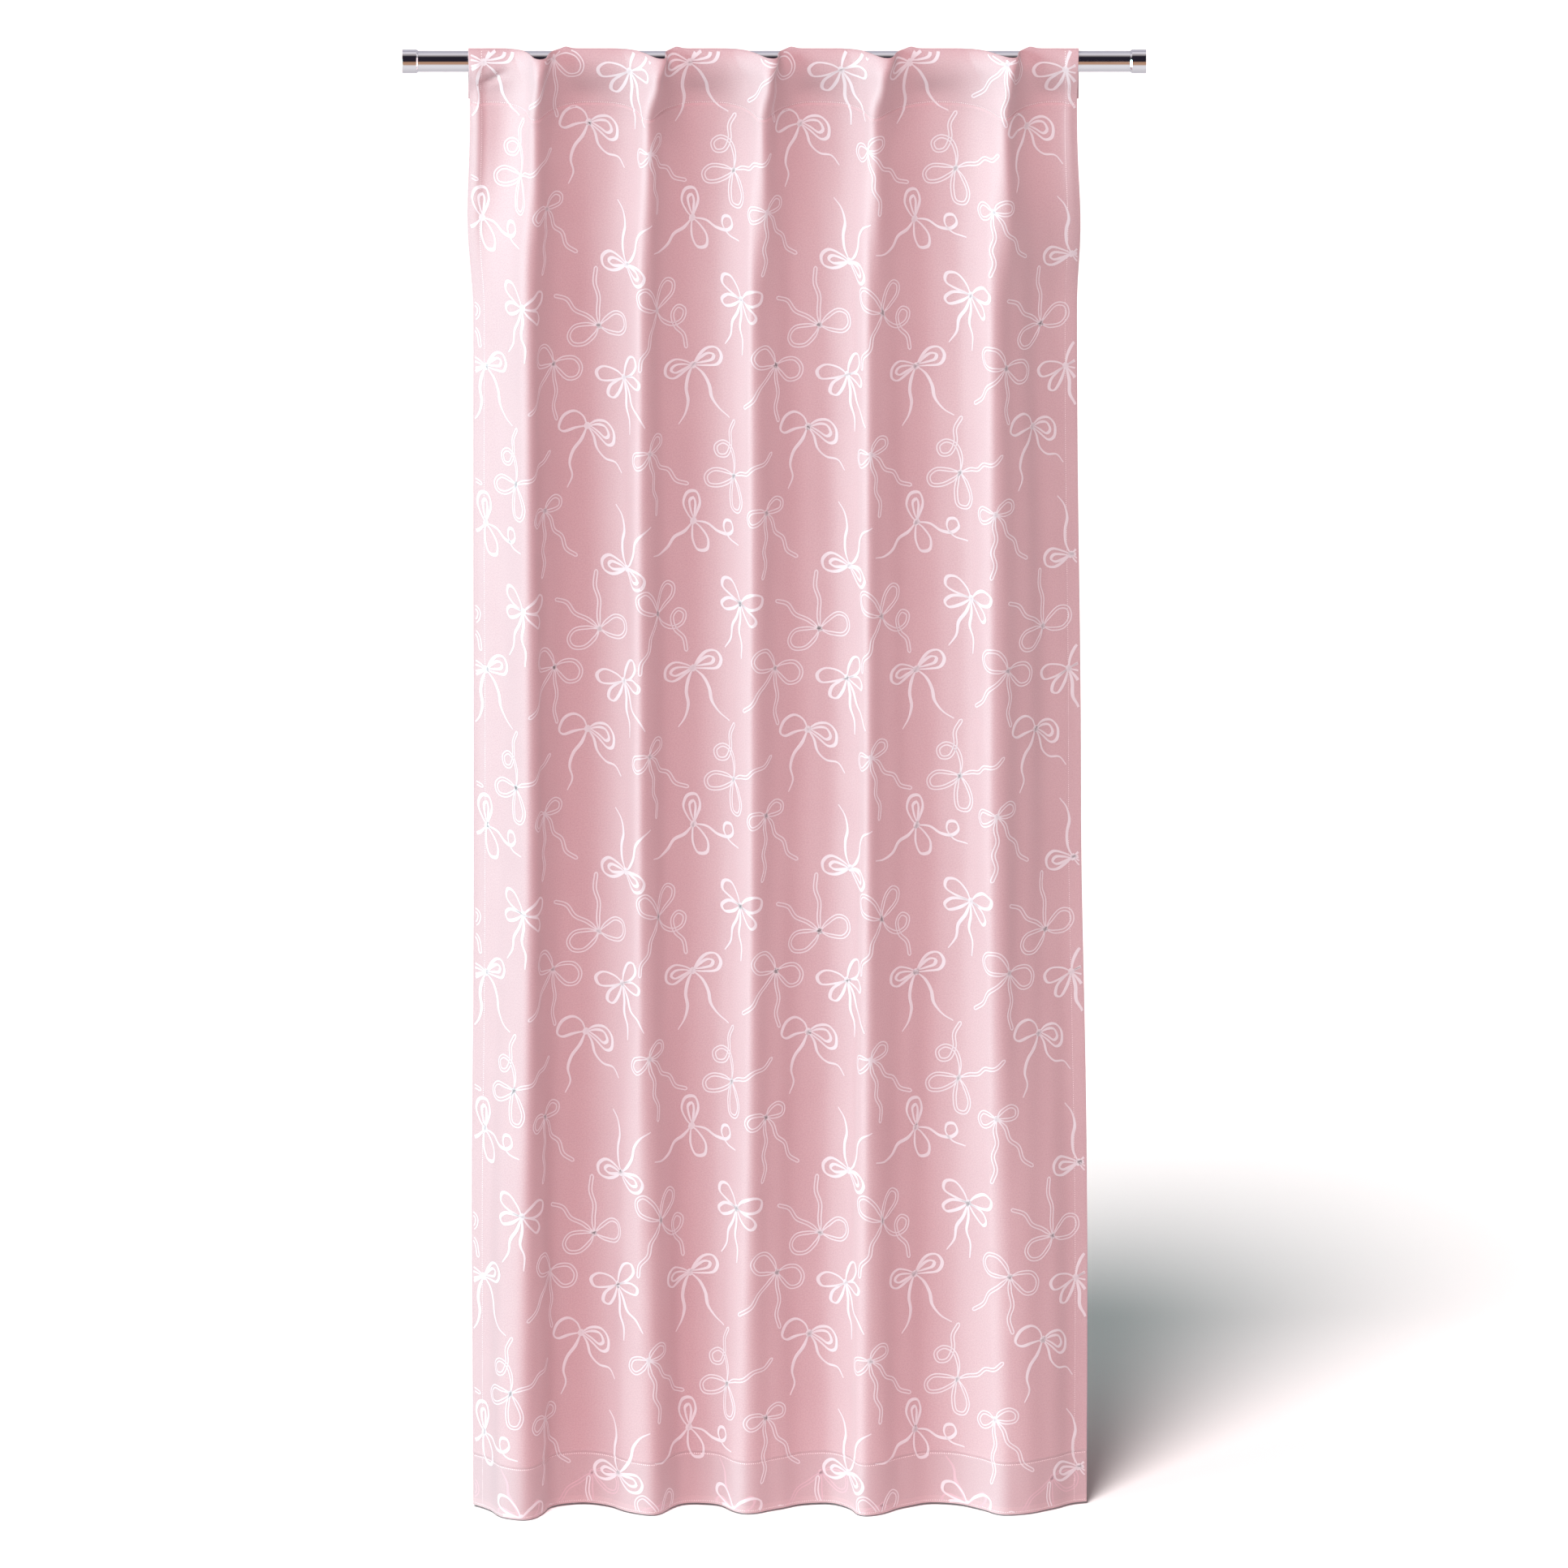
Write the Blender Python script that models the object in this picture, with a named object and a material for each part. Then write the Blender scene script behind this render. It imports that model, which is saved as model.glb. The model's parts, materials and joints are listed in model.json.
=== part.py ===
"""A blackout curtain hung by loops behind its head from a plated rod with two end caps."""

import math

import bmesh
import bpy
import numpy as np

# Sizes are in metres. X runs along the rod, Y away from the room, Z up,
# all from the middle of the rod's axis.

# Rod and its caps
ROD_RADIUS = 0.0172
ROD_WALL = 0.0012
ROD_LENGTH = 1.2166
CAP_RADIUS = 0.01945
CAP_LENGTH = 0.0257
CAP_END_WALL = 0.0042
CAP_FACE_EDGE = 0.0008
CAP_MOUTH_TAPER = 0.0026
CAP_MOUTH_LIP = 0.0004
SLIDING_CLEARANCE = 0.0003
TURNED_SEGMENTS = 56

# Cloth, flat
CLOTH_WIDTH = 1.300
CLOTH_DROP = 2.500
CLOTH_THICKNESS = 0.0008
FOLDED_GAP = 0.0006
HEAD_DEPTH = 0.094
HEM_DEPTH = 0.087
SEAM_WIDTH = 0.0025
SIDE_HEM_WIDTH = 0.025
SIDE_HEM_EXTRA = 0.0012
SIDE_HEM_STEP = 0.0006
EDGE_ROUNDING = 0.0011
END_CLOTH = 0.030
LOOPS = 6
LOOP_CLOTH = (CLOTH_WIDTH - 2 * END_CLOTH) / (LOOPS - 1)

# Cloth, hung: where the valleys, crests and side edges lie along the rod
TOP_ABOVE_AXIS = 0.0255
HEAD_VALLEYS = (-0.4742, -0.2937, -0.1113, 0.0778, 0.2749, 0.4715)
BODY_VALLEYS = (-0.4742, -0.3084, -0.1180, 0.0791, 0.2736, 0.4715)
FOOT_VALLEYS = (-0.4742, -0.3218, -0.1261, 0.0818, 0.2695, 0.4715)
TOP_CRESTS = (-0.3849, -0.1837, -0.0013, 0.1877, 0.3943)
SEAM_CRESTS = (-0.3943, -0.2079, -0.0188, 0.1649, 0.3795)
BODY_CRESTS = (-0.4050, -0.2199, -0.0362, 0.1569, 0.3607)
FOOT_CRESTS = (-0.4184, -0.2065, -0.0456, 0.1529, 0.3902)
LEFT_EDGES = (-0.5042, -0.5015, -0.4975, -0.4975, -0.4989)
RIGHT_EDGES = (0.5015, 0.4989, 0.4989, 0.5069, 0.5176)
BODY_STARTS = 0.45
BODY_ENDS = 1.30
TOP_FLAT = 0.034
SEAM_FLAT = 0.024
TOP_LEAN = 2.2
SEAM_LEAN = 1.9
BODY_LEAN = 1.7
FOOT_LEAN = 1.55
EDGE_START = 0.30
BODY_SLIP = 0.012
HEAD_STANDS_OUT = 0.0216
HEAD_BOW_CENTRE = -0.002
HEAD_BOW_REACH = 0.031
BODY_STANDS_OUT = 0.012
TOP_SAG = 0.003
SEAM_SAG = 0.011
BODY_SAG = 0.005
FOOT_SAG = 0.0015
SAG_DEPTH = 0.065

# Loops behind the head
LOOP_WIDTH = 0.060
LOOP_THICKNESS = 0.0012
LOOP_CLEARANCE = 0.0005
LOOP_ROD_CLEARANCE = 0.00035
LOOP_TOP_FLAP = (0.0125, 0.0030)
LOOP_FOOT_FLAP = (0.0770, 0.0880)
LOOP_ARC_STEPS = 9

# How finely the cloth is drawn
CELL = 0.001
ROWS_HEAD = (0.010, 0.022, 0.036, 0.060)
ROWS_BODY = (0.150, 0.270, 0.480, 0.850, 1.250, 1.650, 2.050)
COLUMNS_PER_FOLD = 18
CREST_CROWDING = 0.55
STEEPEST = 2.2
HALVINGS = 40
LEFT_SHARES = (0.2, 0.8)

CLOTH_COLOUR = (0.700, 0.420, 0.455, 1.0)
METAL_COLOUR = (0.600, 0.610, 0.630, 1.0)


def clear_scene():
    for old in list(bpy.data.objects):
        bpy.data.objects.remove(old, do_unlink=True)


def material(name, colour, roughness, metallic):
    made = bpy.data.materials.new(name)
    made.use_nodes = True
    shader = made.node_tree.nodes["Principled BSDF"]
    shader.inputs["Base Color"].default_value = colour
    shader.inputs["Roughness"].default_value = roughness
    shader.inputs["Metallic"].default_value = metallic
    made.diffuse_color = colour
    return made


def place(name, points, faces, surface, smooth_angle):
    """An object of this mesh, faces turned outwards, smooth below the given angle."""
    mesh = bpy.data.meshes.new(name)
    mesh.from_pydata([tuple(p) for p in points], [], faces)
    shape = bmesh.new()
    shape.from_mesh(mesh)
    bmesh.ops.recalc_face_normals(shape, faces=shape.faces)
    shape.to_mesh(mesh)
    shape.free()
    mesh.polygons.foreach_set("use_smooth", [True] * len(mesh.polygons))
    mesh.set_sharp_from_angle(angle=smooth_angle)
    mesh.materials.append(surface)
    made = bpy.data.objects.new(name, mesh)
    bpy.context.scene.collection.objects.link(made)
    return made


def turned(profile, closed):
    """Points and faces of a profile of (along, radius) turned about the rod's axis."""
    points = []
    rings = []
    for along, radius in profile:
        if radius <= 0.0:
            rings.append([len(points)])
            points.append((along, 0.0, 0.0))
            continue
        rings.append(list(range(len(points), len(points) + TURNED_SEGMENTS)))
        for step in range(TURNED_SEGMENTS):
            angle = 2 * math.pi * step / TURNED_SEGMENTS
            points.append((along, radius * math.cos(angle), radius * math.sin(angle)))
    pairs = list(zip(rings, rings[1:]))
    if closed:
        pairs.append((rings[-1], rings[0]))
    faces = []
    for first, second in pairs:
        for step in range(TURNED_SEGMENTS):
            after = (step + 1) % TURNED_SEGMENTS
            if len(first) == 1:
                faces.append((first[0], second[step], second[after]))
            elif len(second) == 1:
                faces.append((first[after], first[step], second[0]))
            else:
                faces.append((first[step], first[after], second[after], second[step]))
    return points, faces


def build_rod(metal):
    end = ROD_LENGTH / 2
    bore = ROD_RADIUS - ROD_WALL
    profile = [(-end, ROD_RADIUS), (end, ROD_RADIUS), (end, bore), (-end, bore)]
    points, faces = turned(profile, True)
    place("curtain_rod", points, faces, metal, math.radians(40))


def build_cap(name, side, metal):
    """A cup that slides over the end of the rod, its mouth tapered down towards the rod."""
    face = ROD_LENGTH / 2 + SLIDING_CLEARANCE + CAP_END_WALL
    mouth = face - CAP_LENGTH
    bore = ROD_RADIUS + SLIDING_CLEARANCE
    profile = [
        (face, 0.0),
        (face, CAP_RADIUS - CAP_FACE_EDGE),
        (face - CAP_FACE_EDGE, CAP_RADIUS),
        (mouth + CAP_MOUTH_TAPER, CAP_RADIUS),
        (mouth, bore + CAP_MOUTH_LIP),
        (mouth, bore),
        (face - CAP_END_WALL, bore),
        (face - CAP_END_WALL, 0.0),
    ]
    points, faces = turned([(side * along, radius) for along, radius in profile], False)
    place(name, points, faces, metal, math.radians(35))


def bend(share, start, lean):
    """Steepness of a flank, from its valley at share nought to its crest at one."""
    reached = start + (1.0 - start) * np.clip(share, 0.0, 1.0)
    return np.sin(np.pi * reached**lean)


def steepness(shape, length, width):
    """The angle by which a bend of this shape brings its length of cloth into the width."""
    low, high = 0.0, STEEPEST
    for _ in range(HALVINGS):
        middle = (low + high) / 2
        if np.cos(middle * shape).mean() * length > width:
            low = middle
        else:
            high = middle
    return low


def flank(length, width, flat, start, lean):
    """Angles along a flank from valley to crest, and how far it rises."""
    count = max(int(round(length / CELL)), 2)
    along = (np.arange(count) + 0.5) / count * length
    shape = bend((along - flat) / (length - flat), start, lean)
    angles = steepness(shape, length, width) * shape
    return angles, float(np.sin(angles).mean() * length)


def valley_cloth(slip):
    """Where the valleys lie on the flat cloth, those between the ends slipped to the left."""
    places = END_CLOTH + np.arange(LOOPS) * LOOP_CLOTH
    places[1:-1] -= slip
    return places


def crest_place(cloth, left_width, right_width, flat, lean):
    """The share of a fold's cloth left of its crest for both flanks to rise alike."""
    low, high = LEFT_SHARES
    for _ in range(HALVINGS):
        share = (low + high) / 2
        rise_left = flank(cloth * share, left_width, flat, 0.0, lean)[1]
        rise_right = flank(cloth * (1 - share), right_width, flat, 0.0, lean)[1]
        if rise_left < rise_right:
            low = share
        else:
            high = share
    return share


def end_wave(width):
    """Angles of the cloth between a side edge and the loop beside it, at the head."""
    count = int(round(END_CLOTH / CELL))
    shape = np.sin(2 * np.pi * (np.arange(count) + 0.5) / count)
    return -steepness(shape, END_CLOTH, width) * shape


def put(angles, piece, start):
    """Write a piece's angles into the row of cells from a place on the cloth."""
    first = int(round(start / CELL))
    last = min(first + len(piece), len(angles))
    angles[first:last] = piece[: last - first]


def row_angles(valleys, crests, edges, flat, lean, held):
    """Angles across the whole cloth at one height, from edge to edge."""
    angles = np.zeros(int(round(CLOTH_WIDTH / CELL)))
    if held:
        put(angles, end_wave(valleys[0] - edges[0]), 0.0)
        put(angles, end_wave(edges[1] - valleys[-1]), CLOTH_WIDTH - END_CLOTH)
    knots = valley_cloth(0.0 if held else BODY_SLIP)
    bounds = [edges[0], *valleys[1:-1], edges[1]]
    if held:
        bounds = valleys
    else:
        knots[0] = 0.0
        knots[-1] = CLOTH_WIDTH
    for fold in range(LOOPS - 1):
        cloth = knots[fold + 1] - knots[fold]
        left_width = crests[fold] - bounds[fold]
        right_width = bounds[fold + 1] - crests[fold]
        starts = [0.0, 0.0]
        if held or 0 < fold < LOOPS - 2:
            share = crest_place(cloth, left_width, right_width, flat, lean)
        else:
            share = left_width / (left_width + right_width)
            starts[0 if fold == 0 else 1] = EDGE_START
        left_cloth = cloth * share
        left = flank(left_cloth, left_width, flat, starts[0], lean)[0]
        right = flank(cloth - left_cloth, right_width, flat, starts[1], lean)[0]
        put(angles, -left, knots[fold])
        put(angles, right[::-1], knots[fold] + left_cloth)
    return angles


def measured_rows():
    """The heights at which the folds are known, and the angles and valleys across each."""
    drops = (0.0, HEAD_DEPTH, BODY_STARTS, BODY_ENDS, CLOTH_DROP)
    valleys = (HEAD_VALLEYS, HEAD_VALLEYS, BODY_VALLEYS, BODY_VALLEYS, FOOT_VALLEYS)
    crests = (TOP_CRESTS, SEAM_CRESTS, BODY_CRESTS, BODY_CRESTS, FOOT_CRESTS)
    flats = (TOP_FLAT, SEAM_FLAT, 0.0, 0.0, 0.0)
    leans = (TOP_LEAN, SEAM_LEAN, BODY_LEAN, BODY_LEAN, FOOT_LEAN)
    angles = []
    for level in range(len(drops)):
        edges = (LEFT_EDGES[level], RIGHT_EDGES[level])
        held = level < 2
        angles.append(
            row_angles(valleys[level], crests[level], edges, flats[level], leans[level], held)
        )
    return np.array(drops), np.array(angles), np.array(valleys)


def eased(value, low, high):
    share = np.clip((value - low) / (high - low), 0.0, 1.0)
    return share * share * (3 - 2 * share)


def between_rows(drop, drops, values):
    """Values at a height, eased between the two measured heights around it."""
    above = min(int(np.searchsorted(drops, drop, side="right")) - 1, len(drops) - 2)
    share = eased(drop, drops[above], drops[above + 1])
    return values[above] * (1 - share) + values[above + 1] * share


def stand_out(drop):
    """How far in front of the rod's axis the cloth hangs at a loop."""
    height = TOP_ABOVE_AXIS - drop
    if height > HEAD_BOW_CENTRE:
        lean = (height - HEAD_BOW_CENTRE) / HEAD_BOW_REACH
        return HEAD_STANDS_OUT * math.sqrt(1 - lean * lean)
    share = eased(drop, TOP_ABOVE_AXIS - HEAD_BOW_CENTRE, HEAD_DEPTH)
    return HEAD_STANDS_OUT * (1 - share) + BODY_STANDS_OUT * share


def hung_row(drop, rows):
    """X, Y and Z of every cell corner across the cloth at one distance from its top."""
    drops, all_angles, all_valleys = rows
    angles = between_rows(drop, drops, all_angles)
    valleys = between_rows(drop, drops, all_valleys)
    flat = np.arange(len(angles) + 1) * CELL
    across = np.concatenate([[0.0], np.cumsum(np.cos(angles)) * CELL])
    back = np.concatenate([[0.0], np.cumsum(np.sin(angles)) * CELL])
    loose = eased(drop, HEAD_DEPTH, BODY_STARTS)
    knots = valley_cloth(BODY_SLIP * loose)
    held = np.ones(LOOPS)
    held[[0, -1]] = 1 - loose
    shift_x = valleys - np.interp(knots, flat, across)
    shift_y = -stand_out(drop) - np.interp(knots, flat, back)
    for end, beside in ((0, 1), (LOOPS - 1, LOOPS - 2)):
        shift_x[end] = held[end] * shift_x[end] + (1 - held[end]) * shift_x[beside]
        shift_y[end] = held[end] * shift_y[end] + (1 - held[end]) * shift_y[beside]
    across = across + np.interp(flat, knots, shift_x)
    back = back + np.interp(flat, knots, shift_y)
    forward = np.maximum(-stand_out(drop) - back, 0.0) / SAG_DEPTH
    sags = np.array([TOP_SAG, SEAM_SAG, BODY_SAG, BODY_SAG, FOOT_SAG])
    sag = between_rows(drop, drops, sags) * forward
    return flat, across, back, TOP_ABOVE_AXIS - drop - sag


def hung_points(drop, columns, rows):
    flat, across, back, height = hung_row(drop, rows)
    return np.stack([np.interp(columns, flat, part) for part in (across, back, height)], axis=1)


def front_and_normals(drops, columns, rows):
    """Points of the cloth's front at each drop and column, with normals to the back."""
    front = np.array([hung_points(drop, columns, rows) for drop in drops])
    right = np.array([hung_points(drop, columns + CELL, rows) for drop in drops])
    left = np.array([hung_points(drop, columns - CELL, rows) for drop in drops])
    low = np.minimum(np.array(drops) + CELL, CLOTH_DROP)
    high = np.maximum(np.array(drops) - CELL, 0.0)
    below = np.array([hung_points(drop, columns, rows) for drop in low])
    above = np.array([hung_points(drop, columns, rows) for drop in high])
    normals = np.cross(right - left, below - above)
    normals /= np.linalg.norm(normals, axis=2, keepdims=True)
    return front, normals


def column_places():
    """Places across the cloth, crowded towards the crests and at the side hems' edges."""
    places = [0.0, SIDE_HEM_WIDTH, SIDE_HEM_WIDTH + SIDE_HEM_STEP]
    shares = np.arange(COLUMNS_PER_FOLD + 1) / COLUMNS_PER_FOLD
    crowded = shares + CREST_CROWDING * np.sin(2 * np.pi * shares) / (2 * np.pi)
    for fold in range(LOOPS - 1):
        start = END_CLOTH + fold * LOOP_CLOTH + SEAM_FLAT
        places.extend(start + crowded * (LOOP_CLOTH - 2 * SEAM_FLAT))
    places.append(END_CLOTH - SEAM_FLAT)
    places.append(CLOTH_WIDTH - END_CLOTH + SEAM_FLAT)
    places.extend([CLOTH_WIDTH - hem_place for hem_place in places[:3]])
    return np.array(sorted(places))


def section_loops():
    """The cloth's upright section as loops of (drop, depth from the front)."""
    full = 2 * CLOTH_THICKNESS + FOLDED_GAP
    thin = CLOTH_THICKNESS
    foot = CLOTH_DROP
    hem = CLOTH_DROP - HEM_DEPTH
    head_rows = (EDGE_ROUNDING, *ROWS_HEAD, HEAD_DEPTH - SEAM_WIDTH, HEAD_DEPTH)
    hem_rows = (hem, hem + SEAM_WIDTH, hem + HEM_DEPTH / 2, foot - EDGE_ROUNDING)
    outer = [(0.0, full / 2)]
    outer += [(drop, 0.0) for drop in (*head_rows, *ROWS_BODY, *hem_rows)]
    outer += [(foot, full / 2)]
    outer += [(drop, full) for drop in reversed(hem_rows)]
    outer += [(hem - SIDE_HEM_STEP, thin)]
    outer += [(drop, thin) for drop in reversed(ROWS_BODY)]
    outer += [(HEAD_DEPTH + SIDE_HEM_STEP, thin)]
    outer += [(drop, full) for drop in reversed(head_rows)]
    head_slit_rows = (2 * EDGE_ROUNDING, *ROWS_HEAD, HEAD_DEPTH - SEAM_WIDTH)
    hem_slit_rows = (hem + SEAM_WIDTH, hem + HEM_DEPTH / 2, foot - 2 * EDGE_ROUNDING)
    slits = []
    for slit_rows in (head_slit_rows, hem_slit_rows):
        slit = [(drop, thin) for drop in slit_rows]
        slit += [(drop, thin + FOLDED_GAP) for drop in reversed(slit_rows)]
        slits.append(slit)
    return outer, slits


def swept(loop, columns, rows, extra):
    """Points of a section loop carried across the cloth, one ring a column."""
    drops = [drop for drop, _ in loop]
    depths = np.array([depth for _, depth in loop])[:, None]
    front, normals = front_and_normals(drops, columns, rows)
    outside = (depths > CLOTH_THICKNESS / 2) * extra[None, :]
    points = front + normals * (depths + outside)[:, :, None]
    return points.transpose(1, 0, 2).reshape(-1, 3)


def tube_faces(first, loop, columns):
    """Triangles between the rings of neighbouring columns, cut alike front and back."""
    ring = len(loop)
    faces = []
    for column in range(columns - 1):
        here = first + column * ring
        there = here + ring
        for step in range(ring):
            after = (step + 1) % ring
            corners = (here + step, there + step, there + after, here + after)
            if loop[step][0] > loop[after][0]:
                corners = (*corners[1:], corners[0])
            faces.append(corners[:3])
            faces.append((corners[0], *corners[2:]))
    return faces


def end_faces(outer, slits, starts, column):
    """Faces that close the section at a side edge, round the two slits."""
    rings = [outer, *slits]
    at = []
    for ring, first in zip(rings, starts):
        at.append([first + column * len(ring) + step for step in range(len(ring))])
    corners = bmesh.new()
    edges = []
    found = {}
    for ring, numbers in zip(rings, at):
        made = [corners.verts.new((depth, drop, 0.0)) for drop, depth in ring]
        for vertex, number in zip(made, numbers):
            found[vertex] = number
        for step in range(len(made)):
            edges.append(corners.edges.new((made[step], made[(step + 1) % len(made)])))
    bmesh.ops.triangle_fill(corners, use_beauty=True, use_dissolve=False, edges=edges)
    faces = [tuple(found[vertex] for vertex in face.verts) for face in corners.faces]
    corners.free()
    return faces


def build_panel(cloth, rows):
    """The hemmed cloth: one layer, folded back double at the head and at the foot."""
    columns = column_places()
    in_hem = (columns <= SIDE_HEM_WIDTH) | (columns >= CLOTH_WIDTH - SIDE_HEM_WIDTH)
    outer, slits = section_loops()
    points = [swept(outer, columns, rows, in_hem * SIDE_HEM_EXTRA)]
    starts = [0]
    for slit in slits:
        starts.append(sum(len(part) for part in points))
        points.append(swept(slit, columns, rows, in_hem * 0.0))
    faces = []
    for loop, first in zip([outer, *slits], starts):
        faces += tube_faces(first, loop, len(columns))
    faces += end_faces(outer, slits, starts, 0)
    faces += end_faces(outer, slits, starts, len(columns) - 1)
    place("curtain_panel", np.concatenate(points), faces, cloth, math.radians(50))


def loop_line(place_across, hem, rows):
    """Centre line of a loop in (Y, Z), from its top flap over the rod to its foot flap."""
    behind = 2 * CLOTH_THICKNESS + FOLDED_GAP + hem + LOOP_CLEARANCE + LOOP_THICKNESS / 2
    drops = [*LOOP_TOP_FLAP, *LOOP_FOOT_FLAP]
    front, normals = front_and_normals(drops, np.array([place_across]), rows)
    flaps = (front + normals * behind)[:, 0, 1:]
    radius = ROD_RADIUS + LOOP_ROD_CLEARANCE + LOOP_THICKNESS / 2
    angles = []
    for flap, turn in ((flaps[1], -1), (flaps[2], 1)):
        reach = math.hypot(*flap)
        angles.append(math.atan2(flap[1], flap[0]) + turn * math.acos(radius / reach))
    arc = np.linspace(angles[0], angles[1], LOOP_ARC_STEPS)
    outside = radius / math.cos((angles[0] - angles[1]) / (LOOP_ARC_STEPS - 1) / 2)
    round_rod = np.stack([outside * np.cos(arc), outside * np.sin(arc)], axis=1)
    return np.concatenate([flaps[:2], round_rod, flaps[2:]])


def both_sides(line, thickness):
    """Outline of a strip of even thickness along a line, as one closed ring."""
    ahead = np.diff(line, axis=0)
    ahead /= np.linalg.norm(ahead, axis=1, keepdims=True)
    sideways = np.stack([-ahead[:, 1], ahead[:, 0]], axis=1)
    joined = np.concatenate([sideways[:1], sideways[:-1] + sideways[1:], sideways[-1:]])
    joined /= np.linalg.norm(joined, axis=1, keepdims=True)
    first = np.concatenate([sideways[:1], sideways])
    mitre = thickness / 2 / (joined * first).sum(axis=1, keepdims=True)
    return np.concatenate([line + joined * mitre, (line - joined * mitre)[::-1]])


def build_loop(number, cloth, rows):
    """A flat loop of doubled cloth, held at the top and the seam of the head."""
    place_across = END_CLOTH + (number - 1) * LOOP_CLOTH
    hem = SIDE_HEM_EXTRA if number in (1, LOOPS) else 0.0
    ring = both_sides(loop_line(place_across, hem, rows), LOOP_THICKNESS)
    middle = hung_points(HEAD_DEPTH / 2, np.array([place_across]), rows)[0, 0]
    points = []
    for side in (-0.5, 0.5):
        for back, height in ring:
            points.append((middle + side * LOOP_WIDTH, back, height))
    count = len(ring)
    faces = []
    for step in range(count):
        after = (step + 1) % count
        faces.append((step, after, count + after, count + step))
    half = count // 2
    for side in (0, count):
        for step in range(half - 1):
            other = count - 1 - step
            faces.append((side + step, side + step + 1, side + other - 1, side + other))
    place(f"back_tab_{number}", points, faces, cloth, math.radians(50))


def build():
    clear_scene()
    cloth = material("blush_blackout_cloth", CLOTH_COLOUR, 0.85, 0.0)
    loop_cloth = material("blush_loop_cloth", CLOTH_COLOUR, 0.85, 0.0)
    tube = material("polished_tube", METAL_COLOUR, 0.12, 1.0)
    plate = material("polished_cap", METAL_COLOUR, 0.14, 1.0)
    rows = measured_rows()
    build_rod(tube)
    build_cap("end_cap_left", -1, plate)
    build_cap("end_cap_right", 1, plate)
    build_panel(cloth, rows)
    for number in range(1, LOOPS + 1):
        build_loop(number, loop_cloth, rows)


build()
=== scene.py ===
import json
import math

import bmesh
import bpy
import numpy as np
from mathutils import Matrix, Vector

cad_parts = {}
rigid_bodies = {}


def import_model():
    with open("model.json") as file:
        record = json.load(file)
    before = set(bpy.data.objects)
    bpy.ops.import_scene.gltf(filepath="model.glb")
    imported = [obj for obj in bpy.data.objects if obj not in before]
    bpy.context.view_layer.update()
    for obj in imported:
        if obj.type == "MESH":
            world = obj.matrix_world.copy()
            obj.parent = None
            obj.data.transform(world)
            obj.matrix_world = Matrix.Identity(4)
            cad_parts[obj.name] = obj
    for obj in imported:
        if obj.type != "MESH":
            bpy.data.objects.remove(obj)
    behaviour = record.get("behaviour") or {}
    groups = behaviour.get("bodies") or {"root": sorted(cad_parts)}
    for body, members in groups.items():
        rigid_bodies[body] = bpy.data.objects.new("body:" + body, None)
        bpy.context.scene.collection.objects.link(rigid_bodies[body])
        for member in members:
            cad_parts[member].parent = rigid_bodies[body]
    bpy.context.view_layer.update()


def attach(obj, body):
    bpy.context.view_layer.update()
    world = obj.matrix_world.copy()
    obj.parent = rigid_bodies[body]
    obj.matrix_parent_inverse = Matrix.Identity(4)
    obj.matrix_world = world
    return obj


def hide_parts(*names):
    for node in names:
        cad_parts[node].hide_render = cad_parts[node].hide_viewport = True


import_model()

# Metres throughout. X runs along the rod, Y away from the room, Z up, from the middle of the rod.
# On the flat cloth, "across" runs from the left side edge and "drop" down from the top edge.

# The rod and its caps
ROD_RADIUS = 0.0172
ROD_WALL = 0.0012
ROD_RIM = 0.0003
TUBE_SIDES = 128
ROD_LENGTH = 1.2166
CAP_RADIUS = 0.01945
CAP_LENGTH = 0.0257
CAP_END_WALL = 0.0042
CAP_FACE_EDGE = 0.0006
CAP_MOUTH_TAPER = 0.0026
CAP_MOUTH_LIP = 0.0004
SLIDING_CLEARANCE = 0.0003

# The cloth, flat
CLOTH_WIDTH = 1.300
CLOTH_DROP = 2.500
CLOTH_THICKNESS = 0.0008
FOLDED_GAP = 0.0006
HEAD_DEPTH = 0.094
ROD_DEPTH = 0.036
HEM_DEPTH = 0.087
TURNED_IN = 0.013
SEAM_WIDTH = 0.0025
SIDE_HEM_WIDTH = 0.025
SIDE_HEM_EXTRA = 0.0012
SIDE_HEM_STEP = 0.0006
EDGE_ROUNDING = 0.0011
FOOT_STITCHES_UP = 0.0045
SIDE_STITCHES_IN = 0.003
END_CLOTH = 0.030
LOOPS = 6
LOOP_CLOTH = (CLOTH_WIDTH - 2 * END_CLOTH) / (LOOPS - 1)

# The cloth, hung
TOP_ABOVE_AXIS = 0.0255
HEAD_VALLEYS = (-0.4742, -0.2937, -0.1113, 0.0778, 0.2749, 0.4715)
BODY_VALLEYS = (-0.4742, -0.3084, -0.1180, 0.0791, 0.2736, 0.4715)
FOOT_VALLEYS = (-0.4742, -0.3218, -0.1261, 0.0818, 0.2695, 0.4715)
TOP_CRESTS = (-0.3849, -0.1837, -0.0013, 0.1877, 0.3943)
ROD_CRESTS = (-0.3886, -0.1932, -0.0081, 0.1788, 0.3885)
SEAM_CRESTS = (-0.3943, -0.2079, -0.0188, 0.1649, 0.3795)
BODY_CRESTS = (-0.4050, -0.2199, -0.0362, 0.1569, 0.3607)
FOOT_CRESTS = (-0.4184, -0.2065, -0.0456, 0.1529, 0.3902)
LEFT_EDGES = (-0.5042, -0.5032, -0.5015, -0.4975, -0.4975, -0.4989)
RIGHT_EDGES = (0.5015, 0.5005, 0.4989, 0.4989, 0.5069, 0.5176)
BODY_STARTS = 0.45
BODY_ENDS = 1.30
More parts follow.
